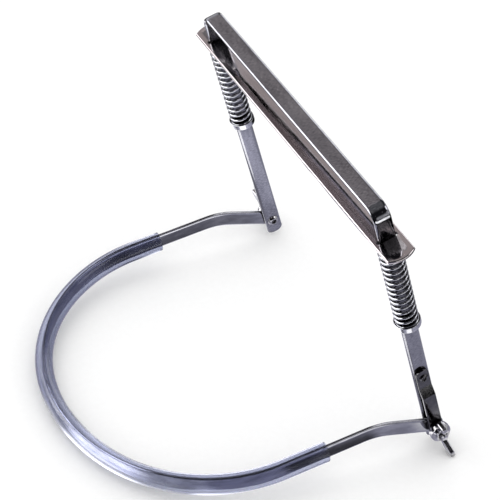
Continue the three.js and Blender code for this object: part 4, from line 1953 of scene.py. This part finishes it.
@dataclass(frozen=True)
class Floor:
    """The plain white floor. Lengths are in metres.

    The camera and the light see white paper, which keeps the holder's shadow. Rays that a surface
    has mirrored see a grey table with pale and dark cards on it instead, in the same place,
    because that is what the photographed metal mirrors. The later cards lie on the earlier ones.

    Attributes:
        size: its width and its length.
        white: how pale the paper is, at its darkest and at its palest.
        paper_grain: the grains a metre in the paper.
        paper_range: the noise that gives the darkest and the palest paper.
        table: the mirrored table's colour, a painted reflection.
        table_middle: the middle of that round table.
        table_edge: how far from there it starts to fade, and where it ends.
        cards: the mirrored cards, painted reflections.
    """

    size: float = 8.0
    white: Pair = (0.985, 1.0)
    paper_grain: float = 300.0
    paper_range: Pair = (0.3, 0.7)
    table: Triple = (0.37, 0.37, 0.46)
    table_middle: Triple = (0.01, -0.01, 0.0)
    table_edge: Pair = (0.245, 0.29)
    cards: tuple[PaintedCard, ...] = (
        PaintedCard((-0.045, -0.05), (0.094, 0.088), (1.7, 1.7, 1.75), 0.005),
        PaintedCard((0.104, 0.005), (0.121, 0.062), (0.06, 0.06, 0.07), 0.005),
        PaintedCard((-0.02, -0.14), (0.118, -0.055), (0.70, 0.70, 0.72), 0.012),
        PaintedCard((0.108, 0.088), (0.122, 0.118), (1.0, 1.0, 1.02), 0.006),
        PaintedCard((0.012, -0.118), (0.064, -0.074), (2.6, 2.6, 2.65), 0.010),
        PaintedCard((-0.093, 0.02), (-0.054, 0.086), (0.24, 0.24, 0.29), 0.012),
        PaintedCard((-0.100, -0.01), (-0.075, 0.056), (0.10, 0.10, 0.12), 0.010),
        PaintedCard((0.138, 0.035), (0.200, 0.086), (1.3, 1.3, 1.35), 0.005),
        PaintedCard((0.138, 0.089), (0.210, 0.096), (0.08, 0.08, 0.09), 0.002),
        PaintedCard((0.43, -0.10), (1.10, 0.65), (1.8, 1.8, 1.8), 0.03),
        PaintedCard((-0.32, 0.01), (-0.095, 0.085), (1.5, 1.5, 1.55), 0.008),
        PaintedCard((-0.064, 0.092), (0.04, 0.14), (0.56, 0.56, 0.68), 0.008),
    )

    def cover(
        self, tree: Tree, place: list[bpy.types.NodeSocket], card: PaintedCard
    ) -> bpy.types.NodeSocket:
        """Gives how much of a card is at a place: the product of its four soft edges.

        Args:
            tree: the floor's tree.
            place: the place's X and Y.
            card: the card.

        Returns:
            From 0 beside the card to 1 on it.
        """
        share = 1.0
        for axis in (0, 1):
            for edge, sign in ((card.low[axis], 1), (card.high[axis], -1)):
                way_in = tree.math("MULTIPLY", place[axis], sign)
                fade = (sign * edge - card.soft, sign * edge + card.soft)
                share = tree.math("MULTIPLY", tree.between(way_in, fade, (0.0, 1.0)), share)
        return share

    def build(self) -> None:
        """Lays the floor."""
        mesh = bpy.data.meshes.new("floor")
        half = self.size / 2
        corners = [(-half, -half, 0), (half, -half, 0), (half, half, 0), (-half, half, 0)]
        mesh.from_pydata(corners, [], [(0, 1, 2, 3)])
        floor = put_in_scene("floor", mesh)
        material = bpy.data.materials.new("floor")
        tree = Tree(material)
        at = tree.add("TexCoord").outputs["Object"]
        fibre = tree.noise(at, (self.paper_grain,) * 3, detail=4.0)
        paper = tree.between(fibre, self.paper_range, self.white)
        # Painted reflection: mirrored rays see a grey table and cards here instead of the paper.
        away = tree.add("VectorMath", {0: at, 1: self.table_middle}, operation="DISTANCE")
        table = tree.between(away.outputs["Value"], self.table_edge, (1.0, 0.0))
        seen = tree.scaled(self.table, table)
        place = list(tree.add("SeparateXYZ", {0: at}).outputs)
        for card in self.cards:
            seen = tree.mix(self.cover(tree, place, card), seen, card.shade)
        white = tree.add("BsdfDiffuse", {"Color": paper})
        mirrored = tree.add("Emission", {"Color": seen, "Strength": 1.0})
        tree.two_faced("OutputMaterial", white.outputs[0], mirrored.outputs[0])
        mesh.materials.append(material)


@dataclass(frozen=True)
class KeyLight:
    """One large soft light over the holder, which isn't mirrored itself.

    Attributes:
        place: where it hangs, in metres. It points at the origin.
        size: how wide it is, in metres.
        energy: its power, in watts.
    """

    place: Triple = (-0.5, -0.6, 1.6)
    size: float = 1.6
    energy: float = 2.5

    def build(self) -> None:
        """Hangs the light."""
        data = bpy.data.lights.new("key", "AREA")
        data.shape, data.size, data.energy = "DISK", self.size, self.energy
        lamp = put_in_scene("key", data)
        lamp.location = self.place
        lamp.rotation_euler = Vector(self.place).to_track_quat("Z", "Y").to_euler()
        lamp.visible_glossy = False


def main() -> None:
    """Builds the whole scene, and reports each piece."""
    logging.basicConfig(level=logging.INFO, format="%(message)s")
    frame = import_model()
    bpy.context.scene.view_settings.view_transform = "Standard"
    PhotoCamera().build()
    arms = ArmFrame.found_in(frame)
    looks = {metal.name: metal.look() for metal in METALS}
    clamp, pivots, nuts, neck = (
        kind(arms, looks) for kind in (Clamp, Pivots, WingNuts, NeckLoop)
    )
    pieces = [clamp.frame(), clamp.plate(), neck.strip(), neck.sleeve()]
    for end in End:
        pieces += [clamp.spring(end), clamp.cup(end), clamp.pin(end)]
        pieces += [pivots.strap(end), pivots.rivet(end), *pivots.bolt(end), nuts.nut(end)]
    for piece in pieces:
        faces, finish = len(piece.data.polygons), piece.data.materials[0].name
        LOG.info("%s: %d faces, %s", piece.name, faces, finish)
    for surroundings in (Room(), Floor(), KeyLight()):
        surroundings.build()


if __name__ == "__main__":
    main()
